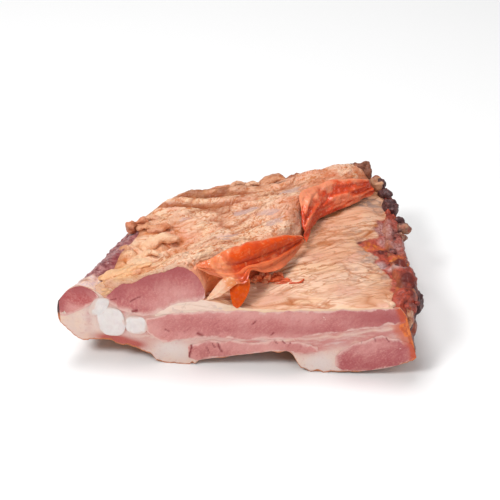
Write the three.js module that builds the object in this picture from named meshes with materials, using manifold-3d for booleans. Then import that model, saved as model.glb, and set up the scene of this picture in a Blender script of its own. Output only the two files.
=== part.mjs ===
// A slab of smoked pork ribs lying bone side up, with one fresh knife cut across it.
// Lean, fat and rib cartilage run back through the slab from the cut, a thick flap of meat lies
// slantwise on top, and a dried membrane hangs off the flap's edge.
// Millimetres, +Z up. The cut lies in the plane of X and Z and faces -Y.

import * as THREE from 'three';
import { mergeVertices } from 'three/addons/utils/BufferGeometryUtils.js';
import Module from 'manifold-3d';

const wasm = await Module();
wasm.setup();

const { lerp, clamp, smoothstep } = THREE.MathUtils;

// Driving dimensions

const gap = 0.4; // clear space between neighbouring pieces
const weld = 1e-4;
const sharpestMitre = 0.5;
const closerSteps = 1.4; // above 1 sets the steps from the cut to the back closer together near the cut
// Steps from the cut to the back, the share of the depth where a run ends, and how far its cutter goes on.
const runs = {
  slab: { steps: 16, end: 1, past: 0.02 },
  layer: { steps: 8, end: 0.965, past: 0.003, laddered: true },
  cartilage: { steps: 6, end: 0.965, past: 0.003, laddered: true },
};
const overrun = 0.02; // share of the depth that a cutter starts ahead of the cut

// Plan of the slab: the cut's two ends, and the two back corners.
const cut = { left: -124, right: 106 };
const back = { left: { x: -66, y: 131 }, right: { x: 83, y: 168 }, bulge: 4 };

// Section of the slab at the cut, as [x, z] along the top and along the underside.
const topAtCut = curve([
  [-124, 45], [-116, 55], [-109, 57.7], [-98, 53.6], [-91, 47], [-78, 40], [-66, 39], [-46, 49.4],
  [-36, 52.4], [-16, 49.6], [0, 47.7], [31, 49.1], [62, 51.8], [106, 55],
]);
const undersideAtCut = curve([
  [-124, 28], [-112, 16.5], [-92, 15.5], [-66, 6.8], [-61, 1], [-40, 0.4], [-33, 4], [-7, 10],
  [19, 15.4], [26, 14], [33, 3.5], [43, 0.5], [55, 2], [74, 3.4], [96, 10], [106, 17],
]);

// Heights of the slab well behind the cut, where the underside rests flat.
const topBehind = curve([[-124, 42], [-108, 50], [-60, 50], [70, 51], [106, 46]]);
const undersideBehind = curve([[-124, 22], [-105, 8], [-82, 0], [-81, 0], [81, 0], [82, 0], [106, 9]]);
const topSettles = 0.7; // share of the depth where the cut's own heights have faded out
const undersideSettles = 0.5;
const backRound = { from: 0.9, drop: 6 }; // the top edge at the back rounds off

// The left edge is pinched in a little behind the cut and bulges towards the back.
const leftEdge = {
  to: 0.22,
  shift: curve([[0, 0], [0.1, 2], [0.25, -1], [0.4, -5], [0.7, -11], [0.9, -9], [1, -5]]),
};

// The right end is stepped in above the lower lobe, with a notch at the fat seam, close to the cut only.
const rightStep = {
  from: 0.85,
  fadesAt: 0.16,
  inset: curve([[0, 0], [0.35, -0.5], [0.6, -7], [0.76, -9.5], [0.88, -6.5], [1, -10]]),
};

// Pieces that run back through the slab, each between a lower and an upper line of the section at the cut.
const layers = {
  upper_lean: {
    colour: 0xb8616a, from: -65, to: 103, steps: 16,
    low: curve([[-65, 29], [-56, 19.5], [-38, 23.6], [-13, 22.6], [19, 26], [50, 34], [103, 44]]),
    high: curve([[-65, 32], [-52, 38.2], [-26, 42.4], [31, 45.6], [103, 51.5]]),
  },
  lower_lean_middle: {
    colour: 0xc97f80, from: -38, to: 40, steps: 9,
    low: curve([[-38, 6], [-20, 8.3], [6, 15], [26, 17.5], [40, 17.4]]),
    high: curve([[-38, 17], [-30, 19], [-13, 18.6], [4, 19.8], [28, 23], [40, 19.5]]),
  },
  lower_lean_right: {
    colour: 0xa9525c, from: 55, to: 103, steps: 8,
    low: curve([[55, 10.5], [61, 5], [74, 5], [96, 12.3], [103, 18]]),
    high: curve([[55, 14.5], [62, 21.4], [77, 28.8], [95, 30.5], [103, 23]]),
  },
  end_muscle: {
    colour: 0xb5606b, from: -121.5, to: -100, steps: 6,
    low: curve([[-121.5, 33], [-113, 37.8], [-105, 43.4], [-100, 48.4]]),
    high: curve([[-121.5, 44.5], [-115, 53.2], [-108, 55.6], [-103, 53.6], [-100, 50.4]]),
  },
};

// Rib cartilage: rounded ovals in the section at the cut, running back like the layers.
const cartilages = [
  { name: 'cartilage_upper', x: -96.3, z: 43, across: 3.8, tall: 5.4, lean: -0.45 },
  { name: 'cartilage_large', x: -90.6, z: 29.6, across: 7.8, tall: 8.7, lean: 0.05 },
  { name: 'cartilage_small', x: -73.2, z: 29.4, across: 6.0, tall: 6.4, lean: 0.02 },
];
const cartilageColour = 0xefe9e4;
const ovalPower = 2.6; // above 2 is squarer than an ellipse
const ovalSides = 12;

// The pale, wrinkled fat that covers the slab's top, thick beside the flap and thin to the right.
const topFat = {
  colour: 0xe9bf94, from: -62, to: 93, steps: 16, above: 4,
  base: curve([[-62, 37.5], [-51, 39.8], [-26, 43.6], [31, 46.6], [93, 51.7]]),
};

// The flap of meat on top: its left and right edges as [depth share, x at the cut], and its thickness across.
const flap = {
  left: curve([[0, -99], [0.1, -97], [0.45, -95], [0.6, -117], [1, -118]]),
  right: curve([
    [0, -30], [0.06, -27.5], [0.14, -14], [0.22, 0], [0.3, 10], [0.5, 25], [0.62, 29], [0.75, 55],
    [0.86, 84], [1, 93],
  ]),
  thicknessAtCut: curve([
    [0, 4], [0.08, 12], [0.2, 21.5], [0.46, 31], [0.7, 29.5], [0.8, 27.5], [0.9, 22], [1, 11],
  ]),
  thicknessBehind: curve([[0, 2.5], [0.2, 6], [0.5, 10], [0.75, 17], [0.88, 20], [0.95, 17], [1, 9]]),
  settles: 0.45,
  sunk: 3, // how far its blank dips into the slab before the slab is cut away from it
  steps: 22,
  run: { steps: 20, end: 1 },
};
// The muscle in the flap, under a cover of fat that is thicker on the left.
const flapMuscle = {
  from: 0.11, steps: 12, run: { steps: 12, end: 0.955, past: 0.003 },
  cover: curve([[0.11, 5.5], [0.25, 3.4], [0.6, 2.6], [1, 2.2]]),
};

// Two rolls of fat across the flap's back left, and shallow lumps all over it.
const rolls = { middle: 0.93, pitch: 0.125, height: 2.4, from: 0.72, toX: 0 };
const lumps = [
  { height: 0.9, alongX: 0.21, alongDepth: 19, phase: 0.6 },
  { height: 0.7, alongX: -0.13, alongDepth: 31, phase: 2.1 },
  { height: 0.5, alongX: 0.33, alongDepth: -23, phase: 4.0 },
];

// Dried membrane: thin sheets through three guide lines each, from the flap's crest down to a free hem.
// Guide points are [x at the cut, depth share, z].
const membraneThickness = 1;
const membranes = {
  membrane_front: {
    colour: 0xd8542a, steps: 16, across: 6, ripple: { height: 0.7, waves: 3.5 },
    crest: [[-33, 0.006, 77.5], [-20, 0.16, 77], [-6, 0.28, 75.5], [13, 0.36, 73], [24, 0.45, 71]],
    belly: [[-23, 0.02, 73], [-9, 0.16, 72], [6, 0.265, 68.5], [19, 0.365, 65], [28, 0.47, 63]],
    hem: [[-19, 0.035, 66], [-5, 0.16, 59.5], [9, 0.225, 55], [21.5, 0.35, 53.5], [30, 0.49, 53.5]],
  },
  membrane_back: {
    colour: 0xc9472c, steps: 15, across: 6, ripple: { height: 0.9, waves: 5 },
    crest: [[22, 0.53, 71], [19, 0.65, 72.5], [36, 0.745, 71.5], [56, 0.8, 70], [82, 0.845, 66]],
    belly: [[30, 0.525, 64], [32.5, 0.64, 64], [46, 0.72, 63], [65, 0.785, 61.5], [87, 0.85, 60]],
    hem: [[32, 0.515, 54], [35.5, 0.63, 53.2], [50, 0.705, 53.2], [69, 0.785, 53.2], [91, 0.865, 53]],
  },
};
const trimReach = 26; // how far past a membrane the flap is cut away
const rimSpace = 0.6; // clear space past a membrane's rim
const awayFromFlap = new THREE.Vector3(0.62, -0.56, 0.55);

// Loose ends of membrane at the front of the flap: a hanging tongue and a pale curl behind it.
const looseEnds = {
  membrane_tongue: {
    colour: 0xd2571c, steps: 6, across: 5, ripple: { height: 0.25, waves: 1 },
    crest: [[-17.5, 0.064, 61.2], [-11.5, 0.08, 61], [-4, 0.098, 58]],
    belly: [[-15.5, 0.038, 56], [-9.5, 0.044, 57.4], [-2.5, 0.062, 54.8]],
    hem: [[-10.5, 0.014, 50.9], [-8.4, 0.01, 50.3], [-6.2, 0.016, 50.9]],
  },
  membrane_curl: {
    colour: 0xeec39a, steps: 6, across: 4, ripple: { height: 0.2, waves: 1 },
    crest: [[-26, 0.012, 56.5], [-23, 0.045, 59.8], [-20, 0.082, 61.6]],
    belly: [[-25, 0.012, 54.6], [-21.4, 0.05, 56.8], [-17.4, 0.088, 58.4]],
    hem: [[-24.6, 0.016, 53], [-20, 0.056, 54], [-15, 0.094, 54.8]],
  },
};

// A scrap of dried fat and meat that lies on the slab under the membrane.
const scrap = {
  x: 19, depth: 0.2, length: 34, width: 7, height: 5,
  sunk: 0.9, // its underside is cut off by the slab this far up
  turn: 0.05, sides: 12, rings: 7,
};

// Charred lumps along the slab's right edge: [x at the cut, depth share, z] and half sizes along X, Y and Z.
const crags = [
  { at: [101, 0.12, 40], size: [9.5, 10, 10] },
  { at: [99, 0.215, 48], size: [7, 8, 5] },
  { at: [104, 0.3, 44], size: [8.5, 8, 8] },
  { at: [99, 0.42, 47], size: [7, 9, 6] },
  { at: [101, 0.53, 45], size: [7, 8, 8] },
  { at: [106, 0.63, 46], size: [9.5, 6, 5.5] },
  { at: [100, 0.775, 46], size: [7.5, 7.5, 7] },
  { at: [99, 0.87, 45], size: [6.5, 6, 6] },
  { at: [99, 0.95, 45], size: [7, 7, 7] },
];
const cragRoughness = 0.16;
// A charred stub that sticks out of the flap's back right corner.
const stub = { at: [89, 0.965, 57], size: [8, 7, 8.5] };

// Curves and shapes

// Smooth line through [x, value] points, with x rising; it stays level past both ends.
function curve(points) {
  const last = points.length - 1;
  const slope = (i) => {
    const [x0, y0] = points[Math.max(i - 1, 0)];
    const [x1, y1] = points[Math.min(i + 1, last)];
    return (y1 - y0) / (x1 - x0);
  };
  return (x) => {
    const here = clamp(x, points[0][0], points[last][0]);
    const i = clamp(points.findLastIndex((p) => p[0] <= here), 0, last - 1);
    const [x0, y0] = points[i];
    const [x1, y1] = points[i + 1];
    const width = x1 - x0;
    const k = (here - x0) / width;
    const k2 = k * k;
    const k3 = k2 * k;
    return (
      (2 * k3 - 3 * k2 + 1) * y0 + (k3 - 2 * k2 + k) * width * slope(i) +
      (3 * k2 - 2 * k3) * y1 + (k3 - k2) * width * slope(i + 1)
    );
  };
}

// Share of the way across the slab, from its left end to its right end.
const acrossShare = (x) => (x - cut.left) / (cut.right - cut.left);

// Plan position of a point that sits at x on the cut, carried back by a share of the depth.
function plan(x, depth) {
  const share = acrossShare(x);
  const bow = back.bulge * Math.sin(Math.PI * clamp(share, 0, 1)) * smoothstep(depth, 0.5, 1);
  const pinch = leftEdge.shift(depth) * (1 - smoothstep(share, 0, leftEdge.to));
  return {
    x: lerp(x, lerp(back.left.x, back.right.x, share), depth) + pinch,
    y: depth * lerp(back.left.y, back.right.y, share) + bow,
  };
}

function slabTop(x, depth) {
  const rounding = backRound.drop * smoothstep(depth, backRound.from, 1) ** 2;
  return lerp(topAtCut(x), topBehind(x), smoothstep(depth, 0, topSettles)) - rounding;
}

function slabUnderside(x, depth) {
  return lerp(undersideAtCut(x), undersideBehind(x), smoothstep(depth, 0, undersideSettles));
}

// A point of the section at the cut, carried back through the slab.
function inSlab(x, z, depth) {
  const low = undersideAtCut(x);
  const share = (z - low) / (topAtCut(x) - low);
  const at = plan(x, depth);
  const nearRight = smoothstep(acrossShare(x), rightStep.from, 1);
  const nearCut = 1 - smoothstep(depth, 0, rightStep.fadesAt);
  return [
    at.x + rightStep.inset(clamp(share, 0, 1)) * nearRight * nearCut,
    at.y,
    lerp(slabUnderside(x, depth), slabTop(x, depth), share),
  ];
}

// Closed outline between two lines of the section, from one x to another, anticlockwise seen from the front.
function outline(from, to, low, high, steps, sideSteps = 1) {
  const points = [];
  for (let i = 0; i <= steps; i++) points.push([lerp(from, to, i / steps), 0]);
  points.forEach((p) => (p[1] = low(p[0])));
  for (let i = 1; i < sideSteps; i++) points.push([to, lerp(low(to), high(to), i / sideSteps)]);
  for (let i = steps; i >= 0; i--) points.push([lerp(from, to, i / steps), high(lerp(from, to, i / steps))]);
  for (let i = sideSteps - 1; i > 0; i--) points.push([from, lerp(low(from), high(from), i / sideSteps)]);
  return points;
}

function oval({ x, z, across, tall, lean }) {
  return Array.from({ length: ovalSides }, (_, i) => {
    const angle = (2 * Math.PI * i) / ovalSides;
    const rounded = (v) => Math.sign(v) * Math.abs(v) ** (2 / ovalPower);
    const up = tall * rounded(Math.sin(angle));
    return [x + across * rounded(Math.cos(angle)) - lean * up, z + up];
  });
}

// The same outline moved outwards by a distance, with mitred corners.
function grown(points, distance) {
  const edgeNormal = (p, q) => new THREE.Vector2(q[1] - p[1], p[0] - q[0]).normalize();
  return points.map((p, i) => {
    const before = edgeNormal(points.at(i - 1), p);
    const after = edgeNormal(p, points[(i + 1) % points.length]);
    const mitre = distance / Math.max(1 + before.dot(after), sharpestMitre);
    return [p[0] + (before.x + after.x) * mitre, p[1] + (before.y + after.y) * mitre];
  });
}

// Triangles of a list of corner positions and indices, with shared corners welded.
function geometryFrom(positions, index) {
  const geometry = new THREE.BufferGeometry();
  geometry.setAttribute('position', new THREE.Float32BufferAttribute(positions, 3));
  geometry.setIndex(index);
  return mergeVertices(geometry, weld);
}

// Shares of the depth from the cut to the end of a run. Its cutter takes these and one more at each end.
function depthSteps({ steps, end, past }, asCutter) {
  const depths = Array.from({ length: steps + 1 }, (_, j) => end * (j / steps) ** closerSteps);
  return asCutter ? [-overrun, ...depths, end + past] : depths;
}

// Triangles that fill an outline by pairing its first half with its second, like the rungs of a ladder.
function ladder(count) {
  const faces = [];
  for (let i = 0; i < count / 2 - 1; i++) {
    const [across, next] = [count - 1 - i, count - 2 - i];
    faces.push([i, i + 1, next], [i, next, across]);
  }
  return faces;
}

// Solid made by carrying an outline of the section back through the slab.
function runThrough(points, run, asCutter = false) {
  const positions = [];
  const index = [];
  const count = points.length;
  const depths = depthSteps(run, asCutter);
  for (const depth of depths) points.forEach(([x, z]) => positions.push(...inSlab(x, z, depth)));
  const last = depths.length - 1;
  for (let j = 0; j < last; j++) {
    for (let i = 0; i < count; i++) {
      const a = j * count + i;
      const b = j * count + ((i + 1) % count);
      index.push(a, b + count, b, a, a + count, b + count);
    }
  }
  const corners = points.map((p) => new THREE.Vector2(...p));
  const faces = run.laddered ? ladder(count) : THREE.ShapeUtils.triangulateShape(corners, []);
  const lastRing = last * count;
  faces.forEach(([a, b, c]) => index.push(a, b, c, lastRing + a, lastRing + c, lastRing + b));
  return geometryFrom(positions, index);
}

// Solid with six faces, where place(u, v, w) gives the corners and each of u, v, w runs from 0 to 1.
function block(place, uSteps, vSteps, wSteps) {
  const positions = [];
  const index = [];
  const face = (n, m, at, turned) => {
    const first = positions.length / 3;
    for (let j = 0; j <= m; j++) {
      for (let i = 0; i <= n; i++) positions.push(...place(...at(i / n, j / m)));
    }
    for (let j = 0; j < m; j++) {
      for (let i = 0; i < n; i++) {
        const a = first + j * (n + 1) + i;
        const [b, c, d] = [a + 1, a + n + 1, a + n + 2];
        index.push(...(turned ? [a, d, b, a, c, d] : [a, b, d, a, d, c]));
      }
    }
  };
  face(uSteps, wSteps, (u, w) => [u, 1, w], false);
  face(uSteps, wSteps, (u, w) => [u, 0, w], true);
  face(uSteps, vSteps, (u, v) => [u, v, 0], false);
  face(uSteps, vSteps, (u, v) => [u, v, 1], true);
  face(wSteps, vSteps, (w, v) => [0, v, w], true);
  face(wSteps, vSteps, (w, v) => [1, v, w], false);
  return geometryFrom(positions, index);
}

// Joining and cutting

function solid(geometry) {
  const merged = mergeVertices(geometry, weld);
  return new wasm.Manifold(
    new wasm.Mesh({
      numProp: 3,
      vertProperties: merged.attributes.position.array,
      triVerts: new Uint32Array(merged.index.array),
    }),
  );
}

// The largest body of a solid as geometry; a cut can leave crumbs beside it.
function geometryOf(made) {
  const largest = made.decompose().reduce((a, b) => (b.volume() > a.volume() ? b : a));
  const mesh = largest.getMesh();
  return new THREE.BufferGeometry()
    .setAttribute('position', new THREE.BufferAttribute(mesh.vertProperties, 3))
    .setIndex(new THREE.BufferAttribute(mesh.triVerts, 1));
}

// The slab and what runs through it

const slabSteps = 22;
const slabOutline = (lift) =>
  outline(cut.left, cut.right, undersideAtCut, (x) => topAtCut(x) + lift, slabSteps, 4);
const slab = solid(runThrough(slabOutline(0), runs.slab));
const raisedSlab = solid(runThrough(slabOutline(gap), runs.slab, true));

function topFatOutline(extra) {
  const low = (x) => topFat.base(x) - extra;
  const high = (x) => topAtCut(x) + topFat.above;
  return outline(topFat.from - extra, topFat.to + extra, low, high, topFat.steps);
}

const inside = new Map();
for (const [name, { colour, from, to, low, high, steps }] of Object.entries(layers)) {
  inside.set(name, { colour, run: runs.layer, points: outline(from, to, low, high, steps) });
}
for (const cartilage of cartilages) {
  inside.set(cartilage.name, { colour: cartilageColour, run: runs.cartilage, points: oval(cartilage) });
}

function innerFat() {
  let body = crags.reduce((kept, crag) => kept.add(solid(lump(crag))), slab);
  body = body.subtract(solid(runThrough(topFatOutline(gap), runs.layer, true)));
  for (const { points, run } of inside.values()) {
    body = body.subtract(solid(runThrough(grown(points, gap), run, true)));
  }
  return body;
}

// A rough rounded lump.
function lump({ at, size }) {
  const shape = new THREE.IcosahedronGeometry(1, 1);
  shape.deleteAttribute('normal');
  shape.deleteAttribute('uv');
  const ball = mergeVertices(shape, weld);
  const points = ball.attributes.position;
  const [x, y, z] = inSlab(...inCutTerms(at));
  for (let i = 0; i < points.count; i++) {
    const [u, v, w] = [points.getX(i), points.getY(i), points.getZ(i)];
    const rough = 1 + cragRoughness * Math.sin(7.3 * u + 5.1 * v + 9.7 * w + 40 * at[1]);
    points.setXYZ(i, x + size[0] * rough * u, y + size[1] * rough * v, z + size[2] * rough * w);
  }
  return ball;
}

// A place given as [x at the cut, depth, z] in the slab's own heights at that depth.
function inCutTerms([x, depth, z]) {
  const share = (z - slabUnderside(x, depth)) / (slabTop(x, depth) - slabUnderside(x, depth));
  return [x, lerp(undersideAtCut(x), topAtCut(x), share), depth];
}

// The flap

const flapX = (share, depth) => lerp(flap.left(depth), flap.right(depth), share);

function flapRelief(x, depth) {
  const atTheBack = smoothstep(depth, rolls.from, rolls.from + 0.06);
  const onRolls = atTheBack * (1 - smoothstep(x, rolls.toX - 40, rolls.toX));
  const roll = rolls.height * Math.cos((2 * Math.PI * (depth - rolls.middle)) / rolls.pitch) * onRolls;
  const offTheCut = smoothstep(depth, 0, 0.08);
  const rough = lumps.reduce(
    (sum, l) => sum + l.height * Math.sin(l.alongX * x + l.alongDepth * depth + l.phase), 0);
  return roll + rough * offTheCut;
}

function flapTop(share, depth) {
  const x = flapX(share, depth);
  const settled = smoothstep(depth, 0, flap.settles);
  const edge = smoothstep(share, 0, 0.12) * (1 - 0.6 * smoothstep(share, 0.8, 1));
  return (
    slabTop(x, depth) + lerp(flap.thicknessAtCut(share), flap.thicknessBehind(share), settled) +
    flapRelief(x, depth) * edge
  );
}

// The flap between its underside and a depth of cover below its top, grown by a distance as a cutter.
function flapBody({ from, cover, steps, run }, growth = 0) {
  const depths = depthSteps(run, growth > 0);
  return solid(
    block((u, v, w) => {
      const share = lerp(from, 1, u);
      const depth = depths[Math.round(w * (depths.length - 1))];
      const x = flapX(share, depth) - (u === 0 ? growth : 0);
      const at = plan(x, depth);
      const low = slabTop(x, depth) - flap.sunk - growth;
      return [at.x, at.y, lerp(low, flapTop(share, clamp(depth, 0, 1)) - cover(share) + growth, v)];
    }, steps, 3, depths.length - 1),
  );
}

// Thin sheets of membrane

// Point on a sheet: p runs along it and q runs from the crest to the hem.
function onSheet(sheet, p, q) {
  const guide = (points) =>
    new THREE.CatmullRomCurve3(
      points.map(([x, depth, z]) => {
        const at = plan(x, depth);
        return new THREE.Vector3(at.x, at.y, z);
      }),
    ).getPoint(p);
  const across = new THREE.CatmullRomCurve3([guide(sheet.crest), guide(sheet.belly), guide(sheet.hem)]);
  const wave = sheet.ripple.height * Math.sin(2 * Math.PI * sheet.ripple.waves * (p + 0.15 * q)) * q;
  const point = across.getPoint(q);
  return point.addScaledVector(awayFromFlap, wave);
}

// The sheet as a solid: each face is moved off its middle by a distance outwards and by a fixed shift,
// and its rim is spread by a distance.
function sheetSolid(sheet, inner, outer, spread = 0) {
  const nudge = 1e-3;
  return solid(
    block((u, v, w) => {
      const point = onSheet(sheet, u, w);
      const p0 = clamp(u - nudge, 0, 1 - 2 * nudge);
      const q0 = clamp(w - nudge, 0, 1 - 2 * nudge);
      const corner = onSheet(sheet, p0, q0);
      const alongP = onSheet(sheet, p0 + 2 * nudge, q0).sub(corner).normalize();
      const alongQ = onSheet(sheet, p0, q0 + 2 * nudge).sub(corner).normalize();
      const outward = alongQ.clone().cross(alongP).normalize();
      const side = v === 0 ? outer : inner;
      point.addScaledVector(outward, side.off).addScaledVector(awayFromFlap, side.shift);
      point.addScaledVector(alongP, spread * ((u === 1) - (u === 0)));
      point.addScaledVector(alongQ, spread * ((w === 1) - (w === 0)));
      return point.toArray();
    }, sheet.steps, 1, sheet.across),
  );
}

const half = membraneThickness / 2;
const membraneSolid = (sheet) => sheetSolid(sheet, { off: -half, shift: 0 }, { off: half, shift: 0 });

// What lies outside the membranes, to be cut off the flap.
const outsideMembranes = Object.values(membranes).map((sheet) =>
  sheetSolid(sheet, { off: -half - gap, shift: 0 }, { off: 0, shift: trimReach }, rimSpace));
// What lies behind them, to be cut off the scrap.
const behindMembranes = Object.values(membranes).map((sheet) =>
  sheetSolid(sheet, { off: 0, shift: -trimReach }, { off: half + gap, shift: 0 }, rimSpace));

// The crags of the slab's edge with clear space around them.
const roomForCrags = crags.map(({ at, size }) =>
  solid(lump({ at, size: size.map((reach) => reach + 2 * gap) })));

function trimmedFlap(body) {
  const others = [raisedSlab, ...roomForCrags, ...outsideMembranes];
  return others.reduce((kept, other) => kept.subtract(other), body);
}

const meatFlap = trimmedFlap(flapBody(flapMuscle));
const flapWithStub = flapBody({ from: 0, cover: () => 0, ...flap }).add(solid(lump(stub)));
const flapFat = trimmedFlap(flapWithStub).subtract(flapBody(flapMuscle, gap));

// The loose scrap

function scrapSolid() {
  const length = scrap.length / 2;
  const profile = Array.from({ length: scrap.rings + 1 }, (_, i) => {
    const k = i / scrap.rings;
    return new THREE.Vector2(Math.sin(Math.PI * k) ** 0.7 * (1 - 0.45 * k), lerp(-length, length, k));
  });
  profile[0].x = 0;
  profile[scrap.rings].x = 0;
  const shape = new THREE.LatheGeometry(profile, scrap.sides);
  shape.deleteAttribute('normal');
  shape.deleteAttribute('uv');
  const at = plan(scrap.x, scrap.depth);
  shape.scale(scrap.height / 2, 1, scrap.width / 2);
  shape.rotateZ(-Math.PI / 2);
  shape.rotateZ(scrap.turn);
  shape.translate(at.x, at.y, slabTop(scrap.x, scrap.depth) + scrap.height / 2 - scrap.sunk);
  return behindMembranes.reduce((kept, behind) => kept.subtract(behind), solid(shape).subtract(raisedSlab));
}

// The part

const pieces = [];
function add(name, made, colour, roughness) {
  pieces.push({ name, geometry: geometryOf(made), colour, roughness });
}

add('inner_fat', innerFat(), 0xe6cdbb, 0.5);
add('top_fat', solid(runThrough(topFatOutline(0), runs.layer)).intersect(slab), topFat.colour, 0.55);
for (const [name, { colour, points, run }] of inside) add(name, solid(runThrough(points, run)), colour, 0.45);
add('flap_muscle', meatFlap, 0xa8566a, 0.45);
add('flap_fat', flapFat, 0xe0a878, 0.55);
for (const [name, sheet] of Object.entries({ ...membranes, ...looseEnds })) {
  add(name, membraneSolid(sheet), sheet.colour, 0.3);
}
add('scrap', scrapSolid(), 0x9a5330, 0.5);

// The origin is the middle of the part's box, at the level that it rests on.
const box = new THREE.Box3();
for (const { geometry } of pieces) {
  geometry.computeBoundingBox();
  box.union(geometry.boundingBox);
}
const middle = box.getCenter(new THREE.Vector3());

const slabOfRibs = new THREE.Group();
for (const { name, geometry, colour, roughness } of pieces) {
  const material = new THREE.MeshStandardMaterial({ color: colour, roughness, metalness: 0 });
  const mesh = new THREE.Mesh(geometry, material);
  mesh.name = name;
  mesh.position.set(-middle.x, -middle.y, -box.min.z);
  slabOfRibs.add(mesh);
}

export default slabOfRibs;
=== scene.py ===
from math import pi, radians

import bpy
import numpy as np
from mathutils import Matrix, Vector


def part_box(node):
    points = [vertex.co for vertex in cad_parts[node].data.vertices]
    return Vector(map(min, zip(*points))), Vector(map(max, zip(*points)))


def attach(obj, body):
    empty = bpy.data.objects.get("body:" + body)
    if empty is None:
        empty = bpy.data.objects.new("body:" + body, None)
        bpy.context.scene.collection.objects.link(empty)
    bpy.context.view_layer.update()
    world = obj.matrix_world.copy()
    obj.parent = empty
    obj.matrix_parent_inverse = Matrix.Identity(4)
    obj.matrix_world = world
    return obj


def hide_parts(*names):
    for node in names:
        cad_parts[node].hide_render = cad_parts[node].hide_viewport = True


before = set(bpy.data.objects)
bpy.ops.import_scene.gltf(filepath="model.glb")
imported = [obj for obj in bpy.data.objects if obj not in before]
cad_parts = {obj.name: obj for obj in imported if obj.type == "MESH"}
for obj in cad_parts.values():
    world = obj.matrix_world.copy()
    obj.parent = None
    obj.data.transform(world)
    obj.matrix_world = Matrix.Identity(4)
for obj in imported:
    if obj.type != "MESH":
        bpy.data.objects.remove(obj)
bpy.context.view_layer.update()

# All shapes are worked out in millimetres: x along the cut, y = 0 on the cut, z = 0 on the floor.
cut = {"left": -124.0, "right": 106.0}
frameOffset = np.array([
    1000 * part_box("inner_fat")[0].x - cut["left"], 1000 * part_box("upper_lean")[0].y, 0.0])


# value at k between a and b
def blend(a, b, k):
    return a + (b - a) * k


# 0 at low, 1 at high and an S-shaped cubic between; it falls where low is the greater
def ease(x, low, high):
    k = np.clip((x - low) / (high - low), 0, 1)
    return k * k * (3 - 2 * k)


# bell of height 1 around a middle
def bell(x, middle, width):
    return np.exp(-(((x - middle) / width) ** 2))


# strongest of some oval bells, each (x at the cut, depth share, half width, half depth)
def ovals(x, depth, *spots):
    return np.max([
        bell(x, at, wide) * bell(depth, atDepth, deep) for at, atDepth, wide, deep in spots], axis=0)


# largest of some arrays at each point
def largest(*values):
    return np.max(np.broadcast_arrays(*values), axis=0)


# three arrays as one of points
def xyz(x, y, z):
    return np.stack(np.broadcast_arrays(x, y, z), -1)


# points moved up, each by its own lift
def raised(points, lift):
    return points + xyz(0, 0, lift)


# vectors divided by their length
def unit(vectors):
    return vectors / np.maximum(np.linalg.norm(vectors, axis=-1, keepdims=True), 1e-9)


# cubic through (x, value) points whose slope at a point is that of the chord between its neighbours
def smoothLine(points):
    xs, ys = np.array(points, float).T
    before, after = np.r_[0, 0:len(xs) - 1], np.r_[1:len(xs), len(xs) - 1]
    slopes = (ys[after] - ys[before]) / (xs[after] - xs[before])

    def value(x):  # cubic weights times the two ends and their slopes
        x = np.clip(x, xs[0], xs[-1])
        i = np.clip(np.searchsorted(xs, x, side="right") - 1, 0, len(xs) - 2)
        width = xs[i + 1] - xs[i]
        k = (x - xs[i]) / width
        start = (2 * k**3 - 3 * k**2 + 1) * ys[i] + (k**3 - 2 * k**2 + k) * width * slopes[i]
        return start + (3 * k**2 - 2 * k**3) * ys[i + 1] + (k**3 - k**2) * width * slopes[i + 1]

    return value


# a smooth line for each coordinate of some points, at shares t of their run
def curve(points, t):
    at = np.linspace(0, 1, len(points))
    return np.stack([smoothLine(np.c_[at, values])(t) for values in np.array(points, float).T], -1)


lattice = np.random.default_rng(11).random((32, 32, 32)) * 2 - 1


# random values on a lattice joined by S-curves, summed over octaves that halve in pitch and in height
def grain(points, pitch, octaves=3, shift=0.0):
    total, height = 0.0, 1.0
    for octave in range(octaves):
        where = points / pitch * 2**octave + 9.7 * octave + shift
        cell = np.floor(where).astype(int)
        k = ease(where - cell, 0, 1)
        for corner in np.ndindex(2, 2, 2):
            weight = np.prod(np.where(np.array(corner, bool), k, 1 - k), axis=-1)
            i = (cell + np.array(corner)) % len(lattice)
            total = total + height * weight * lattice[i[..., 0], i[..., 1], i[..., 2]]
        height *= 0.5
    return total


# 0 in a crease and 1 between creases: the size of a noise, whose zero lines branch and join
def creases(points, pitch, shift):
    return np.clip(2.8 * np.abs(grain(points, pitch, 2, shift)), 0, 1)


# points moved about by a noise for each coordinate
def warped(points, amount, pitch, shift):
    return points + amount * np.stack([grain(points, pitch, 2, shift + 10 * i) for i in range(3)], -1)


# points in axes that are turned about z
def turned(points, degrees):
    (x, y, z), c, s = np.moveaxis(points, -1, 0), np.cos(radians(degrees)), np.sin(radians(degrees))
    return xyz(c * x + s * y, c * y - s * x, z)


# the slab's plan, its section at the cut and its heights behind the cut
slab = {
    "backLeft": (-66.0, 131.0), "backRight": (83.0, 168.0), "bow": 4.0,
    "leftShift": smoothLine([(0, 0), (0.1, 2), (0.25, -1), (0.4, -5), (0.7, -11), (0.9, -9), (1, -5)]),
    "leftShiftTo": 0.22,
    "topBehind": smoothLine([(-124, 42), (-108, 50), (-60, 50), (70, 51), (106, 46)]),
    "undersideBehind": smoothLine([(-124, 22), (-105, 8), (-82, 0), (-81, 0), (81, 0), (82, 0), (106, 9)]),
    "topSettles": 0.7, "undersideSettles": 0.5, "backDrop": 6.0,
    "rightInset": smoothLine([
        (0, 0), (0.25, -3), (0.45, -7), (0.61, -10), (0.76, -8), (0.9, -10), (1, -13)]),
    "rightFrom": 0.85, "rightFades": 0.16,
}
topAtCut = smoothLine([
    (-124, 45), (-116, 55), (-109, 57.7), (-98, 53.6), (-91, 47), (-78, 40), (-66, 39), (-46, 49.4),
    (-36, 52.4), (-16, 49.6), (0, 47.7), (31, 49.1), (62, 51.8), (106, 55)])
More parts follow.
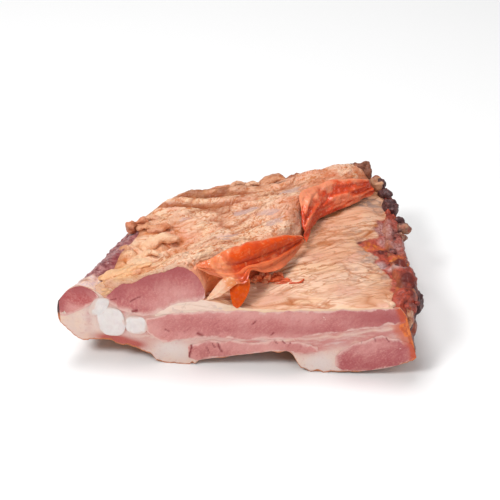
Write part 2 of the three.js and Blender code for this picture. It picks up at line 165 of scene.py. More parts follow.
undersideAtCut = smoothLine([
    (-124, 28), (-112, 16.5), (-92, 15.5), (-66, 6.8), (-61, 1), (-40, 0.4), (-33, 4), (-7, 10),
    (19, 15.4), (26, 14), (33, 3.5), (43, 0.5), (55, 2), (74, 3.4), (96, 10), (106, 17)])


# 0 at the cut's left end and 1 at its right
def acrossShare(x):
    return (x - cut["left"]) / (cut["right"] - cut["left"])


# straight lines from the cut to the back edge, with a bowed back and a wavy left edge
def plan(x, depth):
    share = acrossShare(x)
    (leftX, leftY), (rightX, rightY) = slab["backLeft"], slab["backRight"]
    bow = slab["bow"] * np.sin(pi * np.clip(share, 0, 1)) * ease(depth, 0.5, 1)
    pinch = slab["leftShift"](depth) * ease(share, slab["leftShiftTo"], 0)
    return blend(x, blend(leftX, rightX, share), depth) + pinch, depth * blend(leftY, rightY, share) + bow


# from the cut's line to the line behind it, with a drop at the back
def slabTop(x, depth):
    settled = ease(depth, 0, slab["topSettles"])
    return blend(topAtCut(x), slab["topBehind"](x), settled) - slab["backDrop"] * ease(depth, 0.9, 1) ** 2


# the same for the underside, not below the floor
def slabUnderside(x, depth):
    settled = ease(depth, 0, slab["undersideSettles"])
    return np.maximum(blend(undersideAtCut(x), slab["undersideBehind"](x), settled), 0)


# a point of the section at the cut keeps its share of the slab's height as it is carried back
def inSlab(x, z, depth):
    low = undersideAtCut(x)
    share = (z - low) / (topAtCut(x) - low)
    planX, planY = plan(x, depth)
    step = ease(acrossShare(x), slab["rightFrom"], 1) * ease(depth, slab["rightFades"], 0)
    planX = planX + slab["rightInset"](np.clip(share, 0, 1)) * step
    return xyz(planX, planY, blend(slabUnderside(x, depth), slabTop(x, depth), share))


# guide points (x at the cut, depth share, z) set out on the plan; over the slab, z counts from its top
def guided(path, overSlab=False):
    x, depth, z = np.array(path, float).T
    return xyz(*plan(x, depth), z + slabTop(x, depth) if overSlab else z)


# shares from 0 to 1, close together at both ends
def endwise(count):
    return (1 - np.cos(pi * (np.arange(count) + 0.5) / count)) / 2


# shares of the depth, closer together near the cut
def depthShares(count, end=1.0, power=1.2):
    return end * np.linspace(0, 1, count)[:, None] ** power


# four corners of each cell of a grid of point numbers
def gridFaces(grid):
    return np.stack([grid[:-1, :-1], grid[1:, :-1], grid[1:, 1:], grid[:-1, 1:]], -1).reshape(-1, 4)


# shares of the rungs between the two halves of an outline
def rungShares(rungs):
    return np.linspace(0, 1, rungs + 1)[1:-1, None]


# closed outlines joined into a tube; each end is filled by rungs between an outline's two halves
def closedSweep(rings, rungs):
    stations, count, _ = rings.shape
    half = count // 2
    tube = np.arange(stations * count).reshape(stations, count)
    points = rings.reshape(-1, 3)
    faces = gridFaces(np.c_[tube, tube[:, :1]]).tolist()
    for end in (0, -1):
        outline = tube[end]
        first, second = outline[1:half - 1], outline[::-1][1:half - 1]
        inner = blend(points[first], points[second], rungShares(rungs)[..., None])
        numbers = len(points) + np.arange(inner[..., 0].size).reshape(inner.shape[:2])
        grid = np.vstack([first, numbers, second])
        cap = gridFaces(grid)[:, [0, 3, 2, 1]].tolist()
        cap.append([outline[0], *grid[:, 0], outline[-1]])
        cap.append([grid[0, -1], outline[half - 1], outline[half], *grid[:0:-1, -1]])
        faces += cap if end == 0 else [face[::-1] for face in cap]
        points = np.vstack([points, inner.reshape(-1, 3)])
    return points, faces


# distances of an end's inner points to its low, high, left and right borders
def capReach(ring, rungs):
    first, second = ring[1:len(ring) // 2 - 1], ring[::-1][1:len(ring) // 2 - 1]
    share, tall, x = rungShares(rungs), np.linalg.norm(second - first, axis=-1), first[:, 0]
    sides = np.broadcast_arrays(share * tall, (1 - share) * tall, x - x[0], x[-1] - x)
    return np.array(sides).reshape(4, -1)


# unit normals of an open grid, from the cross product of its two directions
def gridNormals(points):
    return unit(np.cross(np.gradient(points, axis=1), np.gradient(points, axis=0)))


# a grid given two faces half a thickness either side of it, and a rim
def thinSheet(points, thickness):
    off = gridNormals(points) * thickness[..., None] / 2
    outer = np.arange(thickness.size).reshape(thickness.shape)
    faces = gridFaces(outer)
    rim = np.concatenate([outer[0, :-1], outer[:-1, -1], outer[-1, :0:-1], outer[:0:-1, 0]])
    nextRim = np.roll(rim, -1)
    wall = np.stack([rim, nextRim, nextRim + outer.size, rim + outer.size], -1)
    faces = np.vstack([faces, faces[:, ::-1] + outer.size, wall])
    return np.vstack([(points + off).reshape(-1, 3), (points - off).reshape(-1, 3)]), faces.tolist()


# quads between rings and a fan of triangles round each pole
def ballFaces(rings, sides):
    grid = np.arange((rings - 1) * sides).reshape(rings - 1, sides)
    beside = np.roll(grid, -1, axis=1)
    top, bottom = np.full(sides, grid.size), np.full(sides, grid.size + 1)
    fans = [np.stack([top, grid[0], beside[0]], -1), np.stack([bottom, beside[-1], grid[-1]], -1)]
    return gridFaces(np.c_[grid, grid[:, :1]]).tolist() + np.vstack(fans).tolist()


# ball of rings between two poles, squared off, squashed to three half sizes and roughened by a noise and by
# the sharp ridges of a second one; mesh is (rings, sides)
def roughBall(middle, sizes, mesh, rough, pitch, shift, square=1.0, ridged=0.0):
    rings, sides = mesh
    latitude = pi * (np.arange(1, rings) / rings)[:, None]
    longitude = 2 * pi * (np.arange(sides) / sides)
    ball = xyz(np.sin(latitude) * np.cos(longitude), np.sin(latitude) * np.sin(longitude), np.cos(latitude))
    ball = np.vstack([ball.reshape(-1, 3), [[0, 0, 1], [0, 0, -1]]])
    points = np.asarray(middle) + np.sign(ball) * np.abs(ball) ** square * np.asarray(sizes)
    ridges = 0.5 - 2 * np.abs(grain(points, 0.7 * pitch, 2, shift + 5))
    lift = rough * grain(points, pitch, 3, shift) + ridged * ridges
    return points + ball * lift[:, None], ballFaces(rings, sides)


# a lump drawn out along a cubic path: ovals that turn as they go and shrink to a point at both ends
def strand(path, wide, tall, mesh, rough, pitch, shift, twist=0.0):
    rings, sides = mesh
    t = (1 - np.cos(pi * np.arange(rings + 1) / rings)) / 2
    line = curve(path, t)
    ahead = unit(np.gradient(line, axis=0))
    side = unit(np.cross(ahead, (0.0, 0.0, 1.0)))
    rise = np.cross(side, ahead)
    angle, turn = 2 * pi * np.arange(sides) / sides, twist * t[:, None]
    u, v = wide * np.cos(angle), tall * np.sin(angle)
    full = (1 - np.abs(2 * t - 1) ** 2.6)[:, None] ** (1 / 2.6)
    across = full * (u * np.cos(turn) - v * np.sin(turn))
    upward = full * (u * np.sin(turn) + v * np.cos(turn))
    off = across[..., None] * side[:, None] + upward[..., None] * rise[:, None]
    points = line[:, None] + off * (1 + rough * grain(line[:, None] + off, pitch, 3, shift))[..., None]
    return np.vstack([points[1:-1].reshape(-1, 3), line[:1], line[-1:]]), ballFaces(rings, sides)


# several meshes as one
def together(parts):
    starts = np.cumsum([0] + [len(points) for points, _ in parts])
    faces = [[i + start for i in face] for (_, own), start in zip(parts, starts) for face in own]
    return np.vstack([points for points, _ in parts]), faces


sharpFrom = 70  # degrees between two faces from which their edge is sharp


def makePiece(node, slot, finish, points, faces, masks):
    name = node + "Visual"
    mesh = bpy.data.meshes.new(name)
    mesh.from_pydata((points + frameOffset) / 1000, [], faces)
    for mask, values in masks.items():
        attribute = mesh.attributes.new(mask, "FLOAT", "POINT")
        attribute.data.foreach_set("value", np.asarray(values, np.float32))
    mesh.materials.append(finish)
    mesh.shade_smooth()
    mesh.set_sharp_from_angle(angle=radians(sharpFrom))
    piece = bpy.data.objects.new(name, mesh)
    bpy.context.collection.objects.link(piece)
    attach(piece, "root")
    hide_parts(node)
    print(f"{name}: {len(points)} points, {len(faces)} faces")


# one material and its tones, with short calls for the nodes that the finishes share
class Finish:
    # a new material and the plain values of its shader; depth is in metres
    def __init__(self, name, tones, roughness, gloss=0.3, subsurface=0.0, radius=(1.0, 0.4, 0.25),
                 depth=0.002, coat=0.0, coatRoughness=0.2):
        self.tones = tones
        self.material = bpy.data.materials.new(name)
        self.material.use_nodes = True
        self.tree = self.material.node_tree
        self.shader = self.tree.nodes["Principled BSDF"]
        sockets = {"Roughness": roughness, "Specular IOR Level": gloss, "Subsurface Weight": subsurface,
                   "Subsurface Radius": radius, "Subsurface Scale": depth, "Coat Weight": coat,
                   "Coat Roughness": coatRoughness}
        for socket, value in sockets.items():
            self.shader.inputs[socket].default_value = value

    # a new node; settings are its properties, and inputs are fed by name or number
    def node(self, kind, inputs, **settings):
        made = self.tree.nodes.new(kind)
        for key, value in settings.items():
            setattr(made, key, value)
        for key, value in inputs.items():
            self.feed(made.inputs[key], value)
        return made

    # a socket takes a link or a plain value; a text is the name of a mask
    def feed(self, socket, value):
        if isinstance(value, str):
            value = self.node("ShaderNodeAttribute", {}, attribute_name=value).outputs["Fac"]
        if isinstance(value, bpy.types.NodeSocket):
            self.tree.links.new(value, socket)
        else:
            socket.default_value = (*value, 1.0) if socket.type == "RGBA" else value

    # pitch is in millimetres; turn is about z and tilt is in the plane of the cut, both in degrees
    def noise(self, pitch, detail=4.0, rough=0.55, stretch=(1, 1, 1), turn=0.0, distortion=0.0, tilt=0.0):
        spot = self.node("ShaderNodeTexCoord", {}).outputs["Object"]
        if turn or tilt:
            rotation = (0, radians(tilt), -radians(turn))
            spot = self.node("ShaderNodeMapping", {"Vector": spot, "Rotation": rotation}).outputs[0]
        scale = tuple(1 / s for s in stretch)
        spot = self.node("ShaderNodeMapping", {"Vector": spot, "Scale": scale}).outputs[0]
        inputs = {"Vector": spot, "Scale": 1000 / pitch, "Detail": detail, "Roughness": rough,
                  "Distortion": distortion}
        return self.node("ShaderNodeTexNoise", inputs).outputs["Fac"]

    # one operation on two values
    def math(self, operation, a, b=0.0):
        return self.node("ShaderNodeMath", {0: a, 1: b}, operation=operation).outputs[0]

    # product
    def times(self, a, b):
        return self.math("MULTIPLY", a, b)

    # sum
    def plus(self, a, b):
        return self.math("ADD", a, b)

    # an S-curve from least at low to most at high
    def span(self, value, low, high, most=1.0, least=0.0):
        inputs = {"Value": value, "From Min": low, "From Max": high, "To Min": least, "To Max": most}
        return self.node("ShaderNodeMapRange", inputs, interpolation_type="SMOOTHSTEP").outputs["Result"]

    # thin lines where a noise crosses its middle
    def lines(self, width, noise):
        return self.span(self.math("ABSOLUTE", self.math("SUBTRACT", noise, 0.5)), width, 0)

    # a text is the name of one of the tones
    def tone(self, colour):
        return self.tones[colour] if isinstance(colour, str) else colour

    # a colour with layers over it, each a tone, the mask or value that it shows by, and that value's span
    def layers(self, base, *over):
        colour = self.tone(base)
        for tone, value, *span in over:
            inputs = {0: self.span(value, *span) if span else value, 6: colour, 7: self.tone(tone)}
            colour = self.node("ShaderNodeMix", inputs, data_type="RGBA").outputs[2]
        return colour

    # the colour, and a bump from a height; distance is in metres
    def finish(self, colour, height=None, distance=0.0005, strength=0.6):
        self.feed(self.shader.inputs["Base Color"], colour)
        if height is not None:
            inputs = {"Height": height, "Strength": strength, "Distance": distance}
            bump = self.node("ShaderNodeBump", inputs)
            self.feed(self.shader.inputs["Normal"], bump.outputs["Normal"])
        return self.material


# lean: pink with fine speckle and slanting fibres, paling at its border, dark in its cracks
lean = {
    "dark": (0.38, 0.07, 0.075), "pale": (0.74, 0.37, 0.33), "border": (0.77, 0.49, 0.43),
    "crack": (0.24, 0.02, 0.025), "rim": (0.55, 0.07, 0.015), "roughness": 0.4,
    "proud": 0.3, "runsTo": 0.965,  # how far its cut face stands out, and the depth share that it runs to
}


# clouds, speckle and fibres in pale and dark over one tone, then the masks
def leanFinish(name, tone, tilt):
    f = Finish(name, lean, lean["roughness"], subsurface=0.1, coat=0.06, coatRoughness=0.3)
    speckle = f.noise(1.3, 3, 0.6)
    fibre = f.noise(1.8, 4, 0.65, (2.8, 1, 1), tilt=tilt)
    cloud = f.noise(10, 5, 0.6, (1.6, 1, 1), tilt=tilt)
    patchy = f.times("fade", f.span(f.noise(2.6, 4, 0.6), 0.25, 0.6, 1, 0.55))
    colour = f.layers(
        tone, ("pale", cloud, 0.44, 0.66, 0.45), ("dark", cloud, 0.46, 0.3, 0.45),
        ("pale", speckle, 0.42, 0.74, 0.45), ("pale", fibre, 0.52, 0.72, 0.45),
        ("dark", fibre, 0.46, 0.28, 0.5), ("pale", "pale"), ("dark", "shade"), ("border", patchy),
        ("rim", "rim"), ("crack", "crack"))
    return f.finish(colour, f.plus(speckle, f.times(fibre, 0.8)), 0.0004, 0.5)


# section through a strip of lean: its two lines, drawn together at both ends, with a wavering border
def leanRing(strip):
    u = endwise(strip["grid"][0])
    x = blend(strip["from"], strip["to"], u)
    low, high = strip["low"](x), strip["high"](x)
    middle, half = (low + high) / 2, (high - low) / 2
    half = half * (1 - np.abs(2 * u - 1) ** strip["roundness"]) ** (1 / strip["roundness"])
    border = xyz(x, 0, low)
    waver = strip["waver"] * np.minimum(half, 2) / 2
    low = np.maximum(middle - half + waver * grain(border, 7, 3, 3.1), undersideAtCut(x) + 0.5)
    high = middle + half + waver * grain(border, 7, 3, 21.7)
    return np.r_[x, x[::-1]], np.r_[low, high[::-1]]


# carries a ring back through the slab, sets its cut face a hair proud and gives that face the meat's grain;
# the distances of the cut face's points to its four borders come back too
def leanSolid(x, z, strip, place=inSlab):
    _, rungs, stations = strip["grid"]
    depths = depthShares(stations, lean["runsTo"], 1.6)
    middle = (z + z[::-1]) / 2
    narrowed = 1 - strip["narrows"] * ease(depths, 0, 0.06)
    drawn = x - strip.get("drawsIn", 0.0) * (x - x.min()) / np.ptp(x) * ease(depths, 0.005, 0.06)
    rings = place(drawn, middle + (z - middle) * narrowed, depths)
    rings[0, :, 1] = -strip.get("proud", lean["proud"])
    points, faces = closedSweep(rings, rungs)
    half, start = len(x) // 2, rings[..., 0].size
    reach = capReach(rings[0], rungs)
    onCut = slice(start, start + reach.shape[1])
    far = np.full((4, len(points)), 99.0)
    far[:, onCut] = reach
    far[0, :half] = 0
    far[1, half:2 * half] = 0
    points[onCut, 1] -= 0.16 * grain(points[onCut], 1.8, 2) * np.minimum(reach.min(axis=0), 1) + 0.05
    return points, faces, far


# 1 at a border, falling to 0 over that border's own width, which wanders
def fadeMask(points, far, widths):
    wander = 1.1 * grain(points, 3.5, 3, 17)
    return np.max([ease(reach + wander, width, 0) for reach, width in zip(far, widths) if width], axis=0)


# "grid" is columns, rungs and stations; "fade" is how far the pallor reaches in from the low, high, left and
# right borders; "shades" and "pallor" are (x, z, width, height, strength) and "cracks" are (x, z, length,
# slope, half width)
strips = {
    "upper_lean": {
        "from": -68, "to": 105.6, "grid": (260, 30, 14), "roundness": 16, "waver": 1.1, "narrows": 0.62,
        "low": smoothLine([
            (-68, 25), (-64, 20.6), (-58, 18), (-51, 18.4), (-38, 22.4), (-13, 22.8), (19, 25.6), (50, 32.4),
            (103, 43.2)]),
        "high": smoothLine([
            (-68, 34.6), (-64, 36), (-52, 39.8), (-26, 44.4), (6, 46), (31, 48), (56, 50.5), (81, 52.5),
            (103, 54.2)]),
        "drawsIn": 6.0, "tone": (0.56, 0.178, 0.168), "tilt": 48.0, "fade": (1.4, 1.6, 2.0, 0),
        "shades": [(88, 46, 30, 9, 0.8), (40, 33, 40, 5, 0.4), (-45, 31, 14, 5, 0.2), (-5, 30, 30, 4, 0.15)],
        "pallor": [(-20, 43, 40, 4, 0.5), (-63, 26, 7, 9, 0.7), (20, 45, 30, 3, 0.4),
                   (10, 26, 50, 2.5, 0.35)],
        "cracks": [(2, 37.3, 5, 1.2, 0.35), (-32.8, 25.2, 5, -0.6, 0.8), (-54, 27, 4, -0.7, 0.4),
                   (14, 29, 4, 1.0, 0.25)],
    },
    "lower_lean_middle": {
        "from": -41, "to": 43, "grid": (140, 16, 10), "roundness": 8, "waver": 1.8, "narrows": 0.2,
        "low": smoothLine([(-38, 4.4), (-20, 6.6), (6, 12.6), (26, 15.2), (40, 17)]),
        "high": smoothLine([(-38, 18.4), (-30, 20.4), (-13, 20.2), (4, 21.8), (28, 24.4), (40, 21)]),
        "tone": (0.58, 0.208, 0.19), "tilt": 58.0, "fade": (0.8, 2.2, 1.0, 2.6),
        "shades": [(-30, 12, 6, 8, 0.12), (28, 19, 9, 4, 0.3)], "pallor": [(0, 17, 30, 5, 0.45)],
        "cracks": [(-39.3, 11.8, 13, 5.5, 0.5), (-23.9, 17, 4.5, -1.6, 0.4), (-20.3, 15.6, 9, -2.2, 0.5),
                   (-28, 13, 6, -2.5, 0.25), (16, 22.4, 3.5, -1.2, 0.3), (21.3, 23.2, 3.5, -1.2, 0.35),
                   (25, 23, 3, -1.2, 0.3)],
    },
    "lower_lean_right": {
        "from": 54.5, "to": 106, "grid": (120, 26, 10), "roundness": 9, "waver": 1.8, "narrows": 0.3,
        "low": smoothLine([(54, 7.5), (61, 3.6), (74, 3.9), (96, 10.4), (106, 17)]),
        "high": smoothLine([
            (54, 13), (58, 18.4), (64, 23.4), (73, 28.6), (82, 31.6), (95, 32), (106, 26.5)]),
        "drawsIn": 6.0, "tone": (0.45, 0.098, 0.105), "tilt": 42.0, "fade": (0.4, 3.4, 4.0, 0),
        "shades": [(84, 8, 30, 6, 0.5), (98, 22, 9, 8, 0.4)],
        "pallor": [(72, 22, 14, 7, 0.3), (84, 27, 10, 3, 0.35)],
        "cracks": [(70, 27.5, 4, -1.2, 0.25), (78.9, 29.4, 4, -1.2, 0.3), (87, 29.8, 4.5, -1.0, 0.3)],
    },
    "end_muscle": {
        "from": -123.6, "to": -97.4, "grid": (90, 20, 10), "roundness": 6, "waver": 0.4, "narrows": 0.4,
        "low": smoothLine([(-123.6, 32), (-113, 37), (-105, 42), (-97.4, 48.4)]),
        "high": smoothLine([(-123.6, 46), (-116, 54.8), (-109, 57.4), (-103, 55.6), (-97.4, 51.4)]),
        "tone": (0.48, 0.075, 0.075), "tilt": -30.0, "fade": (3.4, 0, 0, 1.6),
        "shades": [(-110, 58, 15, 8, 0.95), (-123, 44, 4, 10, 0.8)], "pallor": [(-110, 40, 10, 3.5, 0.6)],
        "cracks": [],
    },
}


# how near each point of the cut lies to a crack: a bell across it and a fade at its ends
def crackMask(cracks, points):
    total = np.zeros(len(points))
    for x, z, length, slope, width in cracks:
        along = np.array([1, slope]) / np.hypot(1, slope)
        off = points[:, [0, 2]] - (x, z)
        side = off @ np.array([-along[1], along[0]]) + 0.5 * grain(points, 2, 2)
        total += bell(side, 0, 1.35 * width) * ease(np.abs(off @ along), 0.55 * length, 0.35 * length)
    return np.clip(total, 0, 1) * (points[:, 1] < 1)


# sum of oval bells on the cut
def spotMask(spots, points):
    total = np.zeros(len(points))
    for x, z, wide, tall, strength in spots:
        total += strength * bell(points[:, 0], x, wide) * bell(points[:, 2], z, tall)
    return np.clip(total, 0, 1)


# 1 at the browned right end of the cut, over a width that wanders
def endRim(points, width):
    share = np.clip((points[:, 2] - undersideAtCut(cut["right"])) / 38, 0, 1)
    far = cut["right"] + slab["rightInset"](share) - points[:, 0]
    return ease(far + 1.5 * grain(points, 4, 3, 44), width, 0.3 * width) * (points[:, 1] < 1)


# a strip's ring carried back, with its masks
def makeLean(node, strip, place=inSlab):
    points, faces, far = leanSolid(*leanRing(strip), strip, place)
    finish = leanFinish(node + "Finish", strip["tone"], strip["tilt"])
    makePiece(node, "lean", finish, points, faces, {
        "fade": fadeMask(points, far, strip["fade"]), "crack": crackMask(strip["cracks"], points),
        "shade": spotMask(strip["shades"], points), "pale": spotMask(strip["pallor"], points),
        "rim": 0.85 * endRim(points, 6.5)})


for node, strip in strips.items():
    makeLean(node, strip)

# rib cartilage: white ovals, waxy and a little see-through, each (x, z, half width, half height, slant)
cartilage = {
    "pieces": {
        "cartilage_upper": (-97.6, 42.6, 5.6, 7.0, -0.45),
        "cartilage_large": (-90.3, 31.2, 8.9, 11.2, 0.05),
        "cartilage_small": (-74.2, 29.6, 7.0, 7.0, 0.02),
    },
    "power": 2.7, "grid": (60, 14, 8), "proud": 0.5, "narrows": 0.5, "fade": (1.3, 1.3, 1.3, 1.3),
    "white": (0.8, 0.735, 0.71), "greyed": (0.74, 0.66, 0.64), "border": (0.74, 0.56, 0.5),
}


# two whites in clouds, and a warmer border
def cartilageFinish():
    f = Finish("cartilageFinish", cartilage, 0.3, subsurface=0.2, depth=0.003, coat=0.1, coatRoughness=0.2)
    colour = f.layers("white", ("greyed", f.noise(6, 3), 0.35, 0.7), ("border", "fade"))
    return f.finish(colour, f.noise(3, 2), 0.0003, 0.25)


# a sine or cosine raised to a power that squares a circle off
def squared(wave):
    return np.sign(wave) * np.abs(wave) ** (2 / cartilage["power"])


waxyWhite = cartilageFinish()
angle = -pi + pi * (np.arange(cartilage["grid"][0]) + 0.5) / cartilage["grid"][0]
for node, (x, z, across, tall, slant) in cartilage["pieces"].items():
    up, side = tall * squared(np.sin(angle)), x + across * squared(np.cos(angle))
    ringX, ringZ = np.r_[side - slant * up, (side + slant * up)[::-1]], np.r_[z + up, (z - up)[::-1]]
    points, faces, far = leanSolid(ringX, ringZ, cartilage)
    masks = {"fade": fadeMask(points, far, cartilage["fade"])}
    makePiece(node, "cartilage", waxyWhite, points, faces, masks)

# the flap of meat on top
flap = {
    "left": smoothLine([
        (0, -99), (0.1, -98), (0.2, -101), (0.3, -104), (0.5, -105), (0.6, -109), (0.7, -118), (1, -118)]),
    "right": smoothLine([
        (0, -30), (0.06, -27.5), (0.14, -14), (0.22, 0), (0.3, 10), (0.5, 25), (0.62, 29), (0.75, 55),
        (0.86, 84), (1, 93)]),
    "thicknessAtCut": smoothLine([
        (0, 4), (0.08, 12), (0.2, 21.5), (0.46, 31), (0.7, 29.5), (0.8, 27.5), (0.9, 22), (1, 11)]),
    "thicknessBehind": smoothLine([
        (0, 2.5), (0.2, 6), (0.5, 10), (0.75, 17), (0.88, 20), (0.95, 17), (1, 9)]),
    "settles": 0.45, "rounds": 0.965,  # depth shares where its section has settled and its back rounds off
    # rolls at the back: depth share of the first one's crest by x, spacing, height
    "crest": smoothLine([(-125, 0.885), (-82, 0.81), (-42, 0.79), (0, 0.785)]), "pitch": 0.09, "height": 3.6,
    "drawnIn": 2.5, "pressed": 1.4,  # how far its right side lies inside the membranes
    "streak": 33.0,  # degrees that the streaks turn from the cut
    "columns": 200, "stations": 200, "rungs": 6,
}


# from the left edge to the right
def flapX(share, depth):
    return blend(flap["left"](depth), flap["right"](depth), share)


# how far behind the first roll's crest, the profile (1 on a crest, 0 in a crease) and where there are rolls
def flapRolls(x, depth):
    behind = depth - flap["crest"](x)
    profile = np.abs(np.cos(pi * behind / flap["pitch"]))
    return behind, profile, ease(behind, -0.12, -0.03) * ease(x, -14, -48)


# slab top plus a thickness that changes from the cut's section to a flatter one behind, plus rolls
def flapTop(share, depth):
    x = flapX(share, depth)
    _, profile, onRolls = flapRolls(x, depth)
    settled = ease(depth, 0, flap["settles"])
    thickness = blend(flap["thicknessAtCut"](share), flap["thicknessBehind"](share), settled)
    roll = flap["height"] * (2 * profile**0.7 - 1.3) * onRolls * ease(share, 0, 0.12)
    end = np.clip((depth - flap["rounds"]) / (1.0 - flap["rounds"]), 0, 1)
    return slabTop(x, depth) + 0.8 + (thickness + roll - 0.8) * np.sqrt(1 - 0.98 * end**2)


# a point of the flap: share runs from its left edge to its right, height from its underside to its top
def inFlap(share, height, depth):
    x = flapX(share, depth)
    top = flapTop(share, depth) - flap["pressed"] * ease(share, 0.78, 0.92)
    drawn = x - flap["drawnIn"] * ease(share, 0.85, 1.0) * ease(depth, 0.0, 0.1)
    return xyz(*plan(drawn, depth), blend(slabTop(x, depth), top, height))


# meat in the flap, seen at the cut
muscle = {
    "from": -92.5, "to": -29.0, "grid": (150, 36, 10), "roundness": 7, "waver": 1.5, "narrows": 0.5,
    "low": smoothLine([(-92.5, 46), (-78, 38.4), (-66, 37.6), (-46, 48.6), (-36, 51.8), (-29, 53)]),
    "high": smoothLine([
        (-92.5, 50.5), (-83, 59.4), (-70, 64.4), (-57, 72.6), (-44, 76), (-38, 74.4), (-33, 70.4),
        (-29, 61)]),
    "tone": (0.52, 0.132, 0.128), "tilt": 75.0, "fade": (4.5, 0, 0, 0),
    "shades": [(-54, 76, 30, 9, 0.85), (-86, 56, 8, 8, 0.7), (-70, 63, 16, 6, 0.6), (-33, 66, 4, 8, 0.4)],
    "pallor": [(-45, 57, 12, 6, 0.6), (-62, 47, 14, 5, 0.4)],
    "cracks": [(-73.8, 49.8, 9, 0.75, 0.35), (-74.4, 40.8, 5, 0.2, 0.7), (-88, 49, 5, 0.3, 0.3)],
}


# the same ring carried back through the flap by its shares of the flap's width and height at the cut
def muscleInFlap(x, z, depth):
    share = (x - flap["left"](0.0)) / (flap["right"](0.0) - flap["left"](0.0))
    low = topAtCut(x)
    height = np.clip((z - low) / (flapTop(share, 0.0) - low), 0.02, 0.7)
    back = inFlap(np.clip(share, 0.06, 0.86), height * blend(1.0, 0.15, ease(depth, 0.4, 0.7)), depth)
    return np.where((depth > 0)[..., None], back, xyz(x, 0.0 * depth, z))


makeLean("flap_muscle", muscle, muscleInFlap)

# craggy smoked fat over the flap: smooth flakes with steps between them, and sunken patches
crags = {
    "broad": 1.4, "step": 1.5, "stepsPerUnit": 2.6, "crease": 1.0, "margin": 1.6, "sunken": 0.9,
    "grains": 0.6, "foldMesh": (36, 28),
    "peach": (0.78, 0.41, 0.26), "cream": (0.89, 0.6, 0.42), "rosy": (0.75, 0.335, 0.225),
    "yellow": (0.86, 0.56, 0.345), "lilac": (0.53, 0.33, 0.3), "brown": (0.38, 0.09, 0.024),
    "orange": (0.58, 0.17, 0.045), "red": (0.58, 0.13, 0.04), "tan": (0.56, 0.215, 0.085),
    "char": (0.12, 0.03, 0.018), "lining": (0.98, 0.43, 0.25), "liningDark": (0.85, 0.23, 0.07),
    "gold": (0.8, 0.43, 0.19),
    # sunken grey patches: (x at the cut, depth share, half width, half depth)
    "patches": [(-33, 0.4, 13, 0.04), (-31, 0.318, 6, 0.022), (-23, 0.629, 14, 0.035),
                (8.6, 0.767, 11, 0.03), (-8, 0.573, 10, 0.025)],
}
# folds of fat lying on it: guide points (x at the cut, depth share, z), half width, half height, roughness
# and how far each is cream, browned, charred, reddened and golden
fatFolds = [
    ([(-106, 0.085, 55.5), (-96, 0.09, 59), (-84, 0.105, 62), (-70, 0.125, 66)],
     4.6, 1.8, 0.45, (0, 0, 0, 0, 0.6)),
    ([(-100, 0.035, 53.5), (-94, 0.035, 56), (-86, 0.05, 59.6), (-77, 0.07, 64)],
     4.2, 2, 0.45, (0.1, 0, 0, 0, 0.6)),
    ([(-98, 0.02, 51.5), (-93, 0.012, 53), (-89, 0.012, 55)], 2.6, 1.8, 0.45, (0, 0, 0, 0, 0.6)),
    ([(-94, 0.39, 50.5), (-92.5, 0.425, 54), (-88.5, 0.45, 56), (-81, 0.447, 57), (-72, 0.437, 57)],
     5.4, 3.4, 0.22, (0.35, 0, 0, 0, 0.25)),
    ([(-99.5, 0.225, 51.5), (-95, 0.238, 54.5), (-87, 0.228, 57), (-76, 0.205, 59)],
     5, 2.4, 0.25, (0.3, 0, 0, 0, 0.25)),
    ([(-91.5, 0.308, 53.5), (-87, 0.316, 56), (-81.5, 0.304, 58), (-76.5, 0.285, 58)],
     2.6, 2.2, 0.3, (0.3, 0.1, 0, 0, 0.25)),
    ([(-110, 0.385, 49.5), (-107, 0.395, 52), (-104, 0.405, 53)], 3.4, 3.2, 0.2, (0, 0.75, 0, 0, 0)),
    ([(-116, 0.591, 49), (-115, 0.604, 52), (-112, 0.62, 54), (-104, 0.625, 54.5)],
     3.2, 2.8, 1.1, (0, 0.35, 0, 0.55, 0)),
    ([(-110, 0.592, 53), (-102, 0.565, 56), (-93, 0.54, 57)], 3.4, 2.6, 0.6, (0.1, 0.15, 0, 0.4, 0.4)),
    ([(-113.5, 0.675, 52.5), (-107.5, 0.675, 54.5), (-99, 0.659, 55.5)],
     2.8, 2.4, 0.6, (0.2, 0.15, 0, 0.3, 0)),
    ([(-96, 0.551, 56), (-91, 0.552, 57.5), (-86, 0.555, 58)], 3, 2.4, 0.7, (0, 0.4, 0, 0.45, 0.5)),
    ([(-101, 0.546, 54.5), (-95, 0.537, 56), (-89, 0.531, 56.5)], 2, 1.8, 0.8, (0.1, 0.3, 0, 0.5, 0)),
    ([(-33, 0.944, 54.5), (-24.3, 0.962, 58), (-13.6, 0.966, 58.8), (-5, 0.964, 57.8)],
     5, 3, 0.3, (0, 0.7, 0, 0.1, 0)),
    ([(-6, 0.95, 57), (3.4, 0.957, 59.4), (13, 0.965, 59)], 3.8, 2.4, 0.5, (0, 0.6, 0.45, 0.6, 0)),
    ([(-58, 0.893, 57), (-58, 0.93, 58.8), (-53.5, 0.938, 59.4), (-46, 0.932, 58.4)],
     2.4, 2, 0.3, (0.2, 0.4, 0, 0, 0)),
    ([(-42, 0.872, 57.4), (-42, 0.91, 59.2), (-37.7, 0.92, 59.8), (-30, 0.916, 58.6)],
     2.4, 2, 0.3, (0.2, 0.4, 0, 0, 0)),
]
# the browned end of its crest: middle, half sizes, roughness, mesh and the same five tones
stub = {"at": (63.5, 157, 62.5), "sizes": (8.0, 4.6, 7.0), "rough": 1.6, "mesh": (28, 40),
        "tones": (0, 0.6, 0.78, 0.3, 0)}

